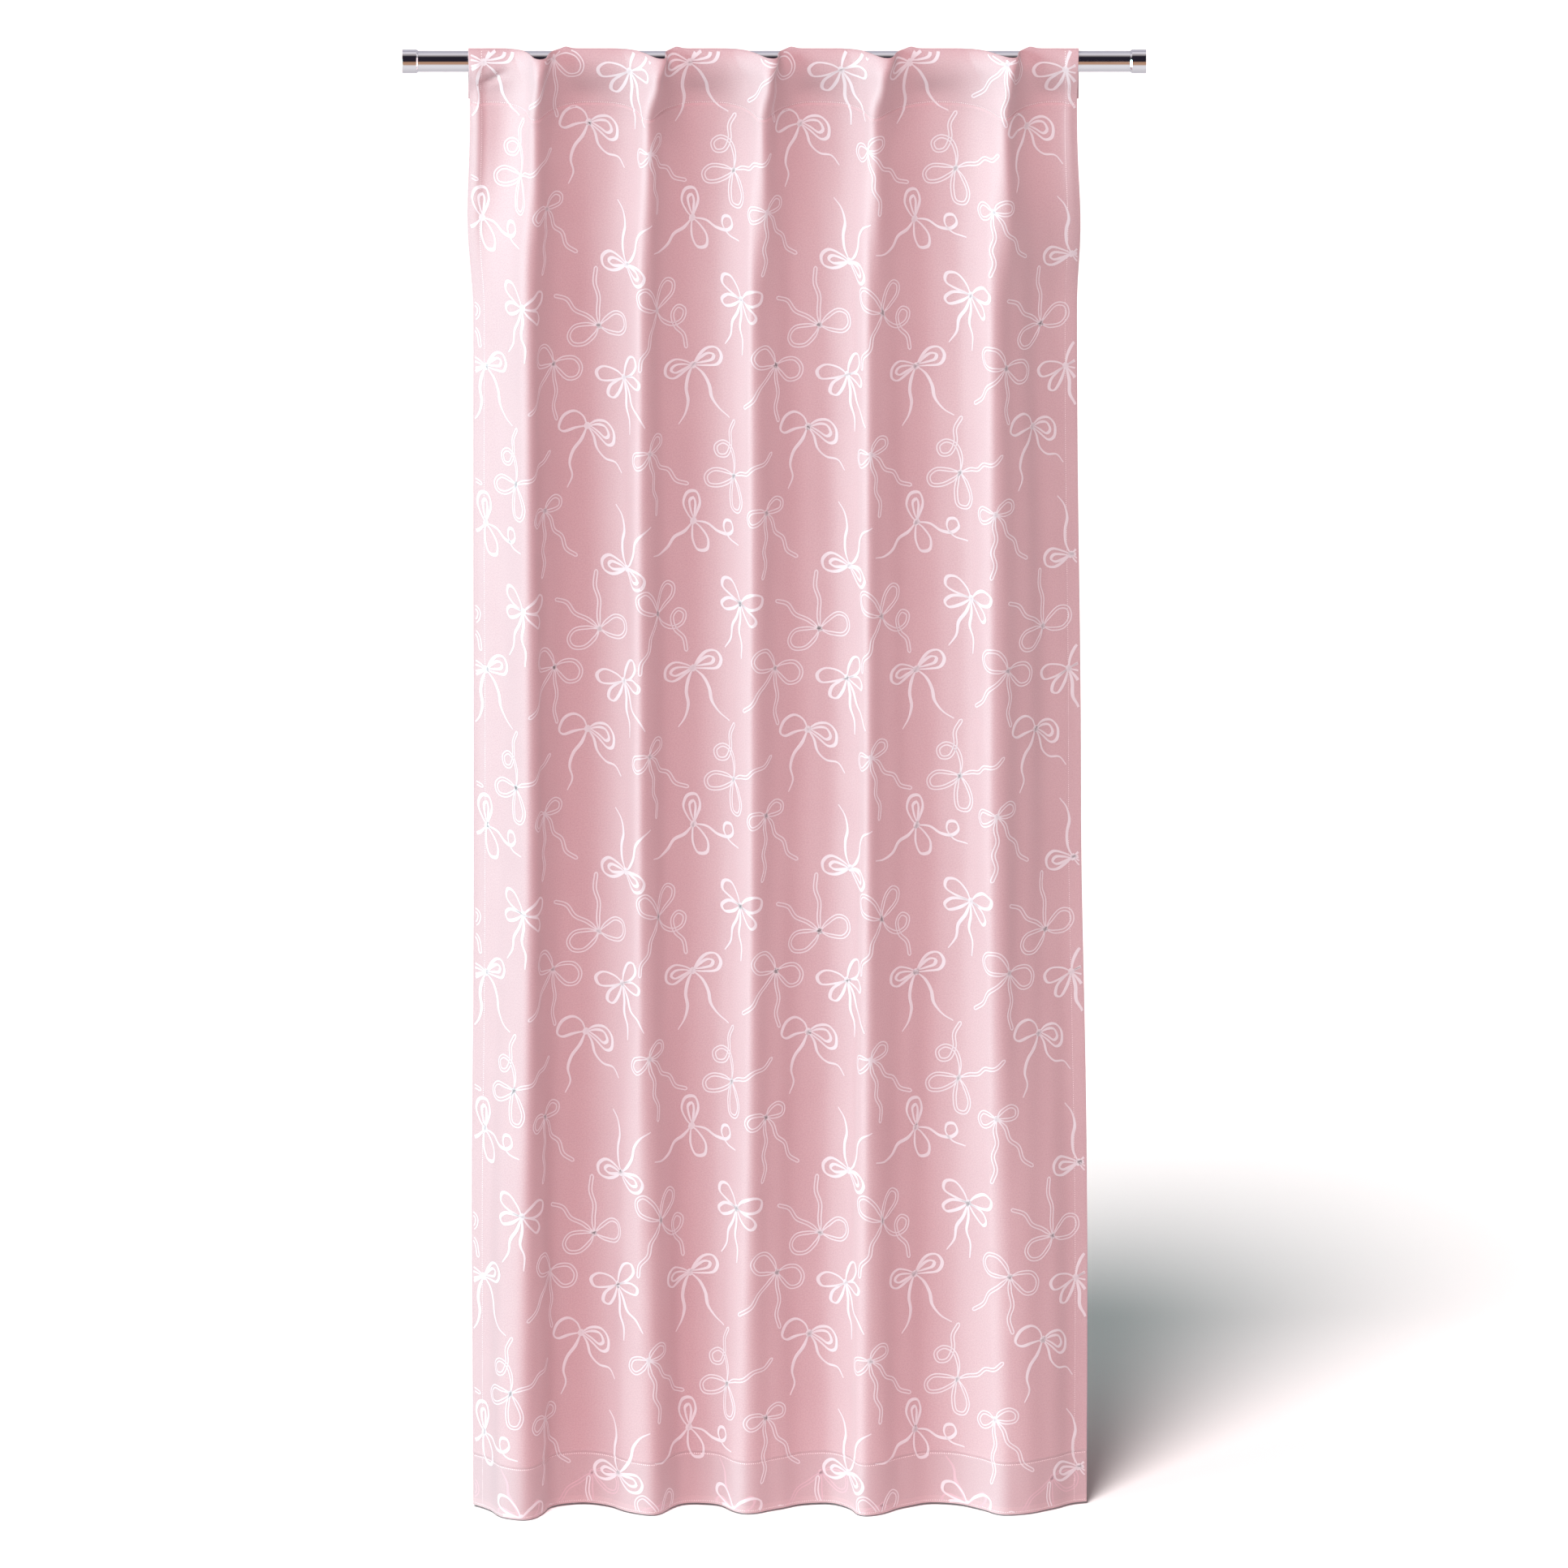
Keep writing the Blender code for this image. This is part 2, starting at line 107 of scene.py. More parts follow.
# Flat stretches of the flanks left and right of a crest, and how each flank bends:
# the first power sets how evenly it rises from the valley, the second how tight the crest is
TOP_FLATS = (0.026, 0.046)
ROD_FLATS = (0.018, 0.030)
SEAM_FLATS = (0.012, 0.012)
TOP_BENDS = ((1.25, 4.0), (0.9, 4.0))
ROD_BENDS = ((1.1, 11.0), (0.9, 12.0))
SEAM_BENDS = ((1.1, 9.0), (1.0, 12.0))
BODY_BENDS = ((1.0, 11.0), (0.9, 11.0))
FOOT_BENDS = ((1.1, 2.2), (1.1, 2.2))
EDGE_START = 0.30
BODY_SLIP = 0.012
HEAD_STANDS_OUT = 0.0216
HEAD_BOW_CENTRE = -0.002
HEAD_BOW_REACH = 0.0302
BODY_STANDS_OUT = 0.010
SAGS = (0.003, 0.006, 0.011, 0.005, 0.005, 0.0015)
SAG_DEPTH = 0.065
CELL = 0.001
STEEPEST = 2.2
HALVINGS = 40
LEFT_SHARES = (0.2, 0.8)
# Rows of the fine grid: the head's end and step, then the counts below it, the last round the hem
GRID_HEAD = 0.13
GRID_HEAD_STEP = 0.001
GRID_BODY_ROWS = 170
GRID_FOOT_ROWS = 100
GRID_ABOVE_HEM = 0.012

# Small forms of the cloth
# Each ripple: share of the height, radians a metre across and down, start in radians,
# then how far it sways, radians a metre of the sway and the sway's start
RIPPLE_HEIGHT = 0.0011
RIPPLES_BEGIN = (0.08, 0.45)
RIPPLES = (
    (1.0, 71, 0.0, 0.4, 1.3, 2.1, 0.0),
    (0.7, 113, 0.0, 2.1, 1.1, 3.3, 1.0),
    (0.5, 31, 5.2, 0.0, 0.0, 0.0, 0.0),
    (0.35, 17, -11.0, 0.7, 0.0, 0.0, 0.0),
)
# Each seam: its drop, how deep its line is pressed in, and on which side the cloth swells
SEAMS = ((HEAD_DEPTH, 0.0012, 1), (CLOTH_DROP - HEM_DEPTH, 0.0010, -1))
SEAM_REACH = 0.0016
SWELL_FROM_SEAM = 0.0045
SWELL_REACH = 0.0022
PUCKER_HEIGHT = 0.00022
PUCKER_REACH = 0.009
# Radians a metre: of a pucker, its sway and its fading; of a pull beside a side seam and its sway
PUCKER_TURNS = (540, 37, 61)
PULL_TURNS = (260, 23)
FOOT_LINE_DEPTH = 0.0004
FOOT_LINE_REACH = 0.0012
SIDE_LINE_DEPTH = 0.0003
SIDE_LINE_PULL = 0.00012
SIDE_LINE_REACH = 0.0018
# Small raised corners of the top edge
CORNER_LIFT = 0.003
CORNER_BEFORE_FLAT = 0.004
CORNER_REACH = 0.009
CORNER_DROP = 0.016
# The hollow under the rod at each loop: depth, then place from the loop and drop, each with a reach
HOLLOW = (0.0048, (-0.014, 0.036), (0.076, 0.022))
# Pleats beside each loop: depth, reach, place at a starting drop, slant, then drop and its reach
PLEATS = (
    (0.0016, 0.006, 0.052, 0.02, 0.55, 0.040, 0.030),
    (0.0012, 0.008, -0.040, 0.0, -0.30, 0.130, 0.045),
)
# The pinch by the left edge: depth, place and reach across, then a drop, the place across
# where its line has that drop, the line's slant and its reach down
PINCH = (0.0075, 0.042, 0.020, 0.050, 0.040, 0.45, 0.007)

# Rows and columns of the panel's mesh, as distances from its edges and seams
EDGE_COLUMNS = (0.0, 0.0004, 0.0012)
EDGE_SHARES = (0.45, 0.8, 1.0)
INNER_COLUMNS = 333
INNER_FROM_EDGE = 0.003
HEAD_ROWS = 14
HEAD_ROWS_START = 0.004
ROWS_ABOVE_SEAM = (0.010, 0.006, 0.004)
ROWS_BY_SEAM = (0.0012, 0.0025, 0.004, 0.006, 0.009)
BODY_ROWS = 62
BODY_ROW_POWER = 1.25
BODY_ROWS_START = 0.014
BODY_ROWS_SHORTER = 0.026
ROWS_BELOW_HEM_SEAM = (0.0045, 0.008)
HEM_ROWS = 5
HEM_ROWS_FROM_ENDS = (0.016, 0.020)
TURNED_IN_STEP = 0.0005
FOOT_ROWS = (0.0075, 0.006, 0.0045, 0.003)
# A rounded fold's points: how far in from the edge, and the shares of its thickness
ROUND_IN = 0.3
ROUND_SHARES = (0.16, 0.5, 0.84)
HEAD_DOUBLED = 0.3

# Thread
STITCH_LENGTH = 0.0027
STITCH_GAP = 0.0010
STITCH_HALF_WIDTH = 0.0007
STITCH_HEIGHT = 0.0005
STITCH_BELOW = 0.0002
STITCH_END_SUNK = 0.0001
STITCH_FROM_EDGE = 0.002
SEAM_INSET = 0.0012

# Loops behind the head
LOOP_WIDTH = 0.060
LOOP_THICKNESS = 0.0012
LOOP_CLEARANCE = 0.0005
LOOP_ROD_CLEARANCE = 0.00035
LOOP_TOP_FLAP = (0.0125, 0.0030)
LOOP_FOOT_FLAP = (0.0770, 0.0880)
FLAP_ROWS = 5
LOOP_ARC_POINTS = 33
LOOP_DOWN_POINTS = 10
# A loop's section: shares of its half width and of its half thickness, with rows of thread
LOOP_PLACES = (-1.0, -0.985, -0.93, -0.90, -0.87, -0.5, 0.0, 0.5, 0.87, 0.90, 0.93, 0.985, 1.0)
LOOP_SWELL = (0.45, 0.92, 1.0, 0.72, 1.0, 1.0, 1.0, 1.0, 1.0, 0.72, 1.0, 0.92, 0.45)

# The printed bows
BOW_TILE_ACROSS = 0.472
BOW_TILE_DROP = 0.520
INK_HEIGHT = 0.00034
INK_SINK = 0.00002
STROKE_STEP = 0.003
CURVE_POINTS = 12
BRUSH_THIN = 0.0009
BRUSH_FULL = 0.0030
BRUSH_SLANT = 0.5
BRUSH_LEAST = 0.25
BRUSH_POWER = 1.5
# How quickly a stroke swells from its start, and how quickly a tail's stroke ends
STROKE_SWELLS = 5
TAIL_ENDS = 2.2
OUTLINE = 0.0010
RIBBON = 0.0026
RIBBON_LEAST = 0.12
TAIL_OPENS = 6
RIBBON_OPENS = 7
KNOT = 0.0036
KNOT_TALLER = 1.2
KNOT_BOLD = 0.7
KNOT_POINTS = 9
PRINT_MARGIN = 0.0035
BEHIND_HEM_MARGIN = 0.004
# Each drawing is a list of (is it a tail, points in millimetres from the knot, y upwards)
DRAWINGS = (
    # round loops with a smaller line inside, tails that part
    (
        (False, ((0, 0), (-12, 11), (-30, 20), (-47, 15), (-51, 0), (-38, -11), (-16, -6), (0, 0))),
        (False, ((-4, 1), (-17, 7), (-31, 10), (-40, 5), (-33, -3), (-17, -2), (-4, 1))),
        (False, ((0, 0), (12, 13), (28, 23), (44, 21), (50, 6), (39, -7), (17, -5), (0, 0))),
        (False, ((4, 2), (16, 10), (28, 14), (37, 10), (32, 2), (16, 1), (4, 2))),
        (True, ((0, 0), (-12, -16), (-20, -36), (-21, -58), (-31, -78), (-46, -91))),
        (True, ((0, 0), (13, -18), (19, -40), (19, -62), (29, -83), (45, -97))),
    ),
    # drooping loops and long waving tails
    (
        (False, ((0, 0), (-11, 15), (-29, 21), (-46, 11), (-51, -8), (-39, -15), (-20, -7), (0, 0))),
        (False, ((0, 0), (13, 13), (31, 17), (47, 6), (51, -13), (40, -20), (20, -10), (0, 0))),
        (False, ((4, 1), (18, 8), (31, 8), (40, -3), (34, -10), (19, -4), (4, 1))),
        (True, ((0, 0), (-4, -24), (-14, -45), (-15, -67), (-5, -87), (-9, -108))),
        (True, ((0, 0), (14, -14), (25, -33), (43, -44), (63, -43), (79, -55))),
    ),
    # a double bow
    (
        (False, ((0, 0), (-12, 15), (-32, 27), (-48, 23), (-47, 8), (-27, 1), (0, 0))),
        (False, ((0, 0), (-17, -2), (-34, -7), (-43, -19), (-34, -27), (-16, -17), (0, 0))),
        (False, ((0, 0), (12, 17), (30, 29), (47, 26), (47, 11), (28, 2), (0, 0))),
        (False, ((0, 0), (17, -1), (34, -5), (44, -16), (36, -25), (17, -15), (0, 0))),
        (True, ((0, 0), (-4, -25), (-13, -47), (-12, -70), (-21, -92))),
        (True, ((0, 0), (6, -24), (7, -47), (19, -66), (23, -91))),
    ),
    # one high and one low loop, a tail that circles round itself
    (
        (False, ((0, 0), (-15, 5), (-33, 17), (-37, 35), (-24, 44), (-9, 33), (-3, 15), (0, 0))),
        (False, ((-2, 4), (-14, 13), (-25, 25), (-22, 33), (-14, 27), (-7, 15), (-2, 4))),
        (False, ((0, 0), (17, -3), (37, -12), (46, -28), (34, -37), (17, -27), (6, -12), (0, 0))),
        (True, ((0, 0), (21, 9), (43, 9), (60, 18), (64, 33), (53, 41), (43, 33), (49, 20),
                (68, 15), (90, 24))),
        (True, ((0, 0), (-4, -21), (-16, -38), (-18, -58), (-30, -75), (-47, -84))),
    ),
    # plain wide loops, parted tails
    (
        (False, ((0, 0), (-14, 14), (-34, 22), (-51, 14), (-54, -3), (-39, -13), (-17, -8), (0, 0))),
        (False, ((0, 0), (14, 12), (35, 19), (52, 10), (54, -7), (39, -16), (17, -9), (0, 0))),
        (True, ((0, 0), (-9, -24), (-20, -46), (-23, -70), (-35, -92))),
        (True, ((0, 0), (11, -22), (26, -42), (31, -66), (47, -84))),
    ),
    # raised loops, one tail circling round itself
    (
        (False, ((0, 0), (-20, 9), (-38, 24), (-40, 43), (-25, 50), (-11, 34), (-3, 15), (0, 0))),
        (False, ((0, 0), (4, 17), (16, 36), (31, 44), (42, 34), (37, 18), (18, 7), (0, 0))),
        (True, ((0, 0), (-12, -17), (-27, -32), (-35, -52), (-52, -66), (-58, -84))),
        (True, ((0, 0), (10, -21), (28, -36), (47, -34), (54, -19), (43, -9), (31, -19),
                (33, -41), (45, -60), (46, -82))),
    ),
    # small round loops over long soft tails
    (
        (False, ((0, 0), (-12, 11), (-27, 15), (-38, 6), (-34, -7), (-17, -8), (0, 0))),
        (False, ((0, 0), (13, 9), (29, 10), (38, -1), (32, -12), (16, -9), (0, 0))),
        (True, ((0, 0), (-10, -19), (-14, -41), (-28, -60), (-31, -83), (-45, -101))),
        (True, ((0, 0), (8, -20), (8, -43), (19, -63), (19, -87), (31, -106))),
    ),
)
BOLD_DRAWINGS = (0, 1, 2, 3)
# Place of each bow in the repeat (shares across and down), turn in degrees and drawing
BOW_PLACES = (
    (0.07, 0.11, 12, 0), (0.40, 0.08, -26, 4), (0.735, 0.12, 24, 2),
    (0.235, 0.365, 150, 5), (0.57, 0.33, -14, 1), (0.90, 0.37, 34, 6),
    (0.07, 0.61, -34, 3), (0.41, 0.58, 20, 6), (0.74, 0.62, 168, 0),
    (0.24, 0.86, -12, 2), (0.575, 0.85, -156, 4), (0.905, 0.87, 10, 5),
)

# Colours
THREADS = ((0.561, 0.240, 0.277, 1), (0.660, 0.341, 0.370, 1))
DOUBLED_TINT = (0.516, 0.301, 0.326, 1)
DOUBLED_TINT_SHARE = 0.3
OFF_WHITE_INK = ((0.79, 0.62, 0.66, 1), (0.74, 0.54, 0.58, 1))
INK_SEEN_THROUGH = ((0.72, 0.43, 0.48, 1), (0.66, 0.36, 0.41, 1))
SEWING_THREAD = ((0.98, 0.82, 0.84, 1), (0.90, 0.66, 0.69, 1))
ROD_PLATING = (0.90, 0.90, 0.92, 1)
CAP_PLATING = (0.88, 0.88, 0.90, 1)
THREAD_PERIOD = 0.0011

# Camera and light
VIEW_ELEVATION = 16.0
METRES_PER_PIXEL = 0.001341
PHOTO_PIXELS = 1932
ROD_CENTRE_PIXEL = (954.0, 78.2)
CAMERA_DISTANCE = 120.0
CAMERA_SEES_TO = 400.0
SENSOR_MM = 36.0
FLOOR_HEIGHT = -2.4785
FLOOR_SIZE = 60.0
FLOOR_WHITE = (0.92, 0.92, 0.92, 1.0)
FLOOR_GAIN = (0.35, 0.23, 0.23, 1.0)
LAMP_AWAY = 10
# Each lamp: azimuth from the camera (minus is its left), elevation, strength, width in degrees,
# colour, and whether polished metal shows it
LAMPS = {
    "key": (-20.0, 55.0, 2.75, 20.0, (1.0, 1.0, 1.0), False),
    "side": (-64.0, -8.0, 9.7, 54.0, (0.55, 1.0, 0.98), True),
    "fill": (58.0, 3.0, 1.05, 70.0, (1.0, 0.84, 0.86), True),
}
ROOM_STRENGTH = 0.24
ROOM_ABOVE = (0.15, 0.15, 0.15, 1.0)
ROOM_AROUND = (1.0, 1.0, 1.0, 1.0)
# What polished metal sees of the room, by degrees above level in front of it
PALE_CEILING = (0.64, 0.62, 0.70)
CEILING_EDGE = (0.34, 0.32, 0.38)
WHITE_CEILING = (0.90, 0.86, 0.92)
GREY_WALL = (0.40, 0.36, 0.37)
DARK_WALL = (0.02, 0.016, 0.026)
WOOD = (0.50, 0.29, 0.19)
PALE_FLOOR = (0.80, 0.78, 0.81)
GREY_FLOOR = (0.64, 0.61, 0.64)
ROOM_BANDS = (
    (-180, PALE_CEILING), (-100, GREY_FLOOR), (-50, PALE_FLOOR), (-30, PALE_FLOOR),
    (-15, WOOD), (4, WOOD), (16, DARK_WALL), (66, DARK_WALL), (84, GREY_WALL),
    (112, WHITE_CEILING), (124, CEILING_EDGE), (142, PALE_CEILING), (164, CEILING_EDGE),
    (180, PALE_CEILING),
)


# The hung cloth


def bend(share, start, powers):
    """Steepness of a flank, from its valley at share nought to its crest at one."""
    rise, turn = powers
    reached = start + (1.0 - start) * np.clip(share, 0.0, 1.0)
    steepest = (rise / (rise + turn)) ** (1 / turn)
    return reached**rise * (1 - reached**turn) / (steepest**rise * (1 - steepest**turn))


def steepness(shape, length, width):
    """The angle by which a bend of this shape brings its length of cloth into the width."""
    low, high = 0.0, STEEPEST
    for _ in range(HALVINGS):
        middle = (low + high) / 2
        if np.cos(middle * shape).mean() * length > width:
            low = middle
        else:
            high = middle
    return low


def flank(length, width, flat, start, powers):
    """Angles along a flank from valley to crest, and how far it rises."""
    count = max(int(round(length / CELL)), 2)
    along = (np.arange(count) + 0.5) / count * length
    shape = bend((along - flat) / (length - flat), start, powers)
    angles = steepness(shape, length, width) * shape
    return angles, float(np.sin(angles).mean() * length)


def valley_cloth(slip):
    """Where the valleys lie on the flat cloth, those between the ends slipped to the left."""
    places = END_CLOTH + np.arange(LOOPS) * LOOP_CLOTH
    places[1:-1] -= slip
    return places


def crest_place(cloth, left_width, right_width, flats, bends):
    """The share of a fold's cloth left of its crest for both flanks to rise alike."""
    low, high = LEFT_SHARES
    for _ in range(HALVINGS):
        share = (low + high) / 2
        rise_left = flank(cloth * share, left_width, flats[0], 0.0, bends[0])[1]
        rise_right = flank(cloth * (1 - share), right_width, flats[1], 0.0, bends[1])[1]
        if rise_left < rise_right:
            low = share
        else:
            high = share
    return share


def end_wave(width):
    """Angles of the cloth between a side edge and the loop beside it, at the head."""
    count = int(round(END_CLOTH / CELL))
    shape = np.sin(2 * np.pi * (np.arange(count) + 0.5) / count)
    return -steepness(shape, END_CLOTH, width) * shape


def put(angles, piece, start):
    """Write a piece's angles into the row of cells from a place on the cloth."""
    first = int(round(start / CELL))
    last = min(first + len(piece), len(angles))
    angles[first:last] = piece[: last - first]


def row_angles(valleys, crests, edges, flats, bends, held):
    """Angles across the whole cloth at one height, from edge to edge."""
    angles = np.zeros(int(round(CLOTH_WIDTH / CELL)))
    if held:
        put(angles, end_wave(valleys[0] - edges[0]), 0.0)
        put(angles, end_wave(edges[1] - valleys[-1]), CLOTH_WIDTH - END_CLOTH)
    knots = valley_cloth(0.0 if held else BODY_SLIP)
    bounds = [edges[0], *valleys[1:-1], edges[1]]
    if held:
        bounds = valleys
    else:
        knots[0] = 0.0
        knots[-1] = CLOTH_WIDTH
    for fold in range(LOOPS - 1):
        cloth = knots[fold + 1] - knots[fold]
        left_width = crests[fold] - bounds[fold]
        right_width = bounds[fold + 1] - crests[fold]
        starts = [0.0, 0.0]
        if held or 0 < fold < LOOPS - 2:
            share = crest_place(cloth, left_width, right_width, flats, bends)
        else:
            share = left_width / (left_width + right_width)
            starts[0 if fold == 0 else 1] = EDGE_START
        left_cloth = cloth * share
        left = flank(left_cloth, left_width, flats[0], starts[0], bends[0])[0]
        right = flank(cloth - left_cloth, right_width, flats[1], starts[1], bends[1])[0]
        put(angles, -left, knots[fold])
        put(angles, right[::-1], knots[fold] + left_cloth)
    return angles


def measured_rows():
    """The heights at which the folds are known, and the angles and valleys across each."""
    drops = (0.0, ROD_DEPTH, HEAD_DEPTH, BODY_STARTS, BODY_ENDS, CLOTH_DROP)
    valleys = (*[HEAD_VALLEYS] * 3, BODY_VALLEYS, BODY_VALLEYS, FOOT_VALLEYS)
    crests = (TOP_CRESTS, ROD_CRESTS, SEAM_CRESTS, BODY_CRESTS, BODY_CRESTS, FOOT_CRESTS)
    flats = (TOP_FLATS, ROD_FLATS, SEAM_FLATS, *[(0.0, 0.0)] * 3)
    bends = (TOP_BENDS, ROD_BENDS, SEAM_BENDS, BODY_BENDS, BODY_BENDS, FOOT_BENDS)
    angles = []
    for level in range(len(drops)):
        edges = (LEFT_EDGES[level], RIGHT_EDGES[level])
        held = drops[level] <= HEAD_DEPTH
        angles.append(
            row_angles(valleys[level], crests[level], edges, flats[level], bends[level], held)
        )
    return np.array(drops), np.array(angles), np.array(valleys)


def eased(value, low, high):
    """From nought to one between two values, slow at both ends."""
    share = np.clip((value - low) / (high - low), 0.0, 1.0)
    return share * share * (3 - 2 * share)


def between_rows(drop, drops, values):
    """Values at a height, eased between the two measured heights around it."""
    above = min(int(np.searchsorted(drops, drop, side="right")) - 1, len(drops) - 2)
    share = eased(drop, drops[above], drops[above + 1])
    return values[above] * (1 - share) + values[above + 1] * share


def stand_out(drop):
    """How far in front of the rod's axis the cloth hangs at a loop."""
    height = TOP_ABOVE_AXIS - drop
    if height > HEAD_BOW_CENTRE:
        lean = (height - HEAD_BOW_CENTRE) / HEAD_BOW_REACH
        return HEAD_STANDS_OUT * math.sqrt(1 - lean * lean)
    share = eased(drop, TOP_ABOVE_AXIS - HEAD_BOW_CENTRE, HEAD_DEPTH)
    return HEAD_STANDS_OUT * (1 - share) + BODY_STANDS_OUT * share


def hung_row(drop, rows):
    """X, Y and Z of every cell corner across the cloth at one distance from its top."""
    drops, all_angles, all_valleys = rows
    angles = between_rows(drop, drops, all_angles)
    valleys = between_rows(drop, drops, all_valleys)
    flat = np.arange(len(angles) + 1) * CELL
    across = np.concatenate([[0.0], np.cumsum(np.cos(angles)) * CELL])
    back = np.concatenate([[0.0], np.cumsum(np.sin(angles)) * CELL])
    loose = eased(drop, HEAD_DEPTH, BODY_STARTS)
    knots = valley_cloth(BODY_SLIP * loose)
    held = np.ones(LOOPS)
    held[[0, -1]] = 1 - loose
    shift_x = valleys - np.interp(knots, flat, across)
    shift_y = -stand_out(drop) - np.interp(knots, flat, back)
    for end, beside in ((0, 1), (LOOPS - 1, LOOPS - 2)):
        shift_x[end] = held[end] * shift_x[end] + (1 - held[end]) * shift_x[beside]
        shift_y[end] = held[end] * shift_y[end] + (1 - held[end]) * shift_y[beside]
    across = across + np.interp(flat, knots, shift_x)
    back = back + np.interp(flat, knots, shift_y)
    forward = np.maximum(-stand_out(drop) - back, 0.0) / SAG_DEPTH
    sag = between_rows(drop, drops, np.array(SAGS)) * forward
    return np.stack([across, back, TOP_ABOVE_AXIS - drop - sag], axis=1)


def surface_normals(points, drops):
    """Unit normals towards the back of a grid of points on the cloth."""
    down = np.gradient(points, drops, axis=0)
    right = np.gradient(points, CELL, axis=1)
    normals = np.cross(right, down)
    return normals / np.linalg.norm(normals, axis=2, keepdims=True)


def ripples(across, drop):
    """Small waves of the cloth that run mostly down it."""
    across = across[None, :]
    drop = drop[:, None]
    wave = 0.0
    for share, turns, slant, start, sway, sway_turns, sway_start in RIPPLES:
        swayed = sway * np.sin(drop * sway_turns + sway_start)
        wave = wave + share * np.sin(across * turns + drop * slant + swayed + start)
    return RIPPLE_HEIGHT * wave * eased(drop, *RIPPLES_BEGIN)


def near(value, centre, reach):
    """One at the centre, falling away over the reach on both sides."""
    return np.exp(-(((value - centre) / reach) ** 2))


def side_seams():
    """Where the side hems are sewn, across the flat cloth."""
    inside = SIDE_HEM_WIDTH - SIDE_STITCHES_IN
    return inside, CLOTH_WIDTH - inside


def seam_relief(across, drop):
    """How far seams and their puckers press the cloth back."""
    across = across[None, :]
    drop = drop[:, None]
    relief = np.zeros(np.broadcast_shapes(across.shape, drop.shape))
    turns, sway, fading = PUCKER_TURNS
    for seam, deep, below in SEAMS:
        relief += deep * near(drop, seam, SEAM_REACH)
        relief -= 0.5 * deep * near(drop, seam + SWELL_FROM_SEAM * below, SWELL_REACH)
        pucker = np.sin(across * turns + 2 * np.sin(across * sway)) * np.sin(across * fading + 1)
        relief += PUCKER_HEIGHT * pucker * near(drop, seam, PUCKER_REACH)
    relief += FOOT_LINE_DEPTH * near(drop, CLOTH_DROP - FOOT_STITCHES_UP, FOOT_LINE_REACH)
    turns, sway = PULL_TURNS
    pull = np.sin(drop * turns + 2 * np.sin(drop * sway))
    for seam in side_seams():
        pressed = SIDE_LINE_DEPTH + SIDE_LINE_PULL * pull
        relief += pressed * near(across, seam, SIDE_LINE_REACH)
    return relief


def corner_lift(across, drop):
    """The top edge's small raised corners where each flat stretch begins."""
    lift = 0.0
    for fold in range(1, LOOPS):
        corner = END_CLOTH + fold * LOOP_CLOTH - TOP_FLATS[1] - CORNER_BEFORE_FLAT
        lift = lift + CORNER_LIFT * near(across, corner, CORNER_REACH)
    return lift[None, :] * np.exp(-drop / CORNER_DROP)[:, None]


def head_creases(across, drop):
    """Soft hollows and pinches pressed into the head and just below it."""
    across = across[None, :]
    drop = drop[:, None]
    pressed = 0.0
    for fold in range(LOOPS):
        loop = END_CLOTH + fold * LOOP_CLOTH
        deep, (beside, reach_across), (below, reach_down) = HOLLOW
        hollow = near(across, loop + beside, reach_across) * near(drop, below, reach_down)
        pressed = pressed + deep * hollow
        for deep, reach, beside, start, slant, below, reach_down in PLEATS:
            from_pleat = across - (loop + beside + slant * (drop - start))
            pleat = near(from_pleat, 0.0, reach) * near(drop, below, reach_down)
            pressed = pressed + deep * pleat
    deep, place, reach, below, start, slant, reach_down = PINCH
    from_pinch = drop - (below - slant * (across - start))
    return pressed + deep * near(across, place, reach) * near(from_pinch, 0.0, reach_down)


class HungCloth:
    """The front of the hung cloth as a fine grid that can be read anywhere."""

    def __init__(self):
        rows = measured_rows()
        hem = CLOTH_DROP - HEM_DEPTH
        head = np.arange(0.0, GRID_HEAD, GRID_HEAD_STEP)
        body = np.linspace(GRID_HEAD, hem - GRID_ABOVE_HEM, GRID_BODY_ROWS, endpoint=False)
        foot = np.linspace(hem - GRID_ABOVE_HEM, CLOTH_DROP, GRID_FOOT_ROWS)
        self.drops = np.concatenate([head, body, foot])
        points = np.array([hung_row(drop, rows) for drop in self.drops])
        normals = surface_normals(points, self.drops)
        flat = np.arange(points.shape[1]) * CELL
        relief = ripples(flat, self.drops) + head_creases(flat, self.drops)
        relief = relief + seam_relief(flat, self.drops)
        points = points + normals * relief[:, :, None]
        points[:, :, 2] += corner_lift(flat, self.drops)
        self.points = points
        self.normals = surface_normals(points, self.drops)

    def read(self, across, drop, depth):
        """Points at places on the flat cloth, at a depth behind its front."""
        across = np.clip(np.asarray(across, float) / CELL, 0, self.points.shape[1] - 1.001)
        drop = np.clip(np.asarray(drop, float), 0.0, CLOTH_DROP)
        row = np.clip(np.searchsorted(self.drops, drop, side="right") - 1, 0, len(self.drops) - 2)
        low = ((drop - self.drops[row]) / (self.drops[row + 1] - self.drops[row]))[..., None]
        column = across.astype(int)
        right = (across - column)[..., None]
        found = []
        for grid in (self.points, self.normals):
            above = grid[row, column] * (1 - right) + grid[row, column + 1] * right
            below = grid[row + 1, column] * (1 - right) + grid[row + 1, column + 1] * right
            found.append(above * (1 - low) + below * low)
        return found[0] + found[1] * np.asarray(depth, float)[..., None]


# Pieces


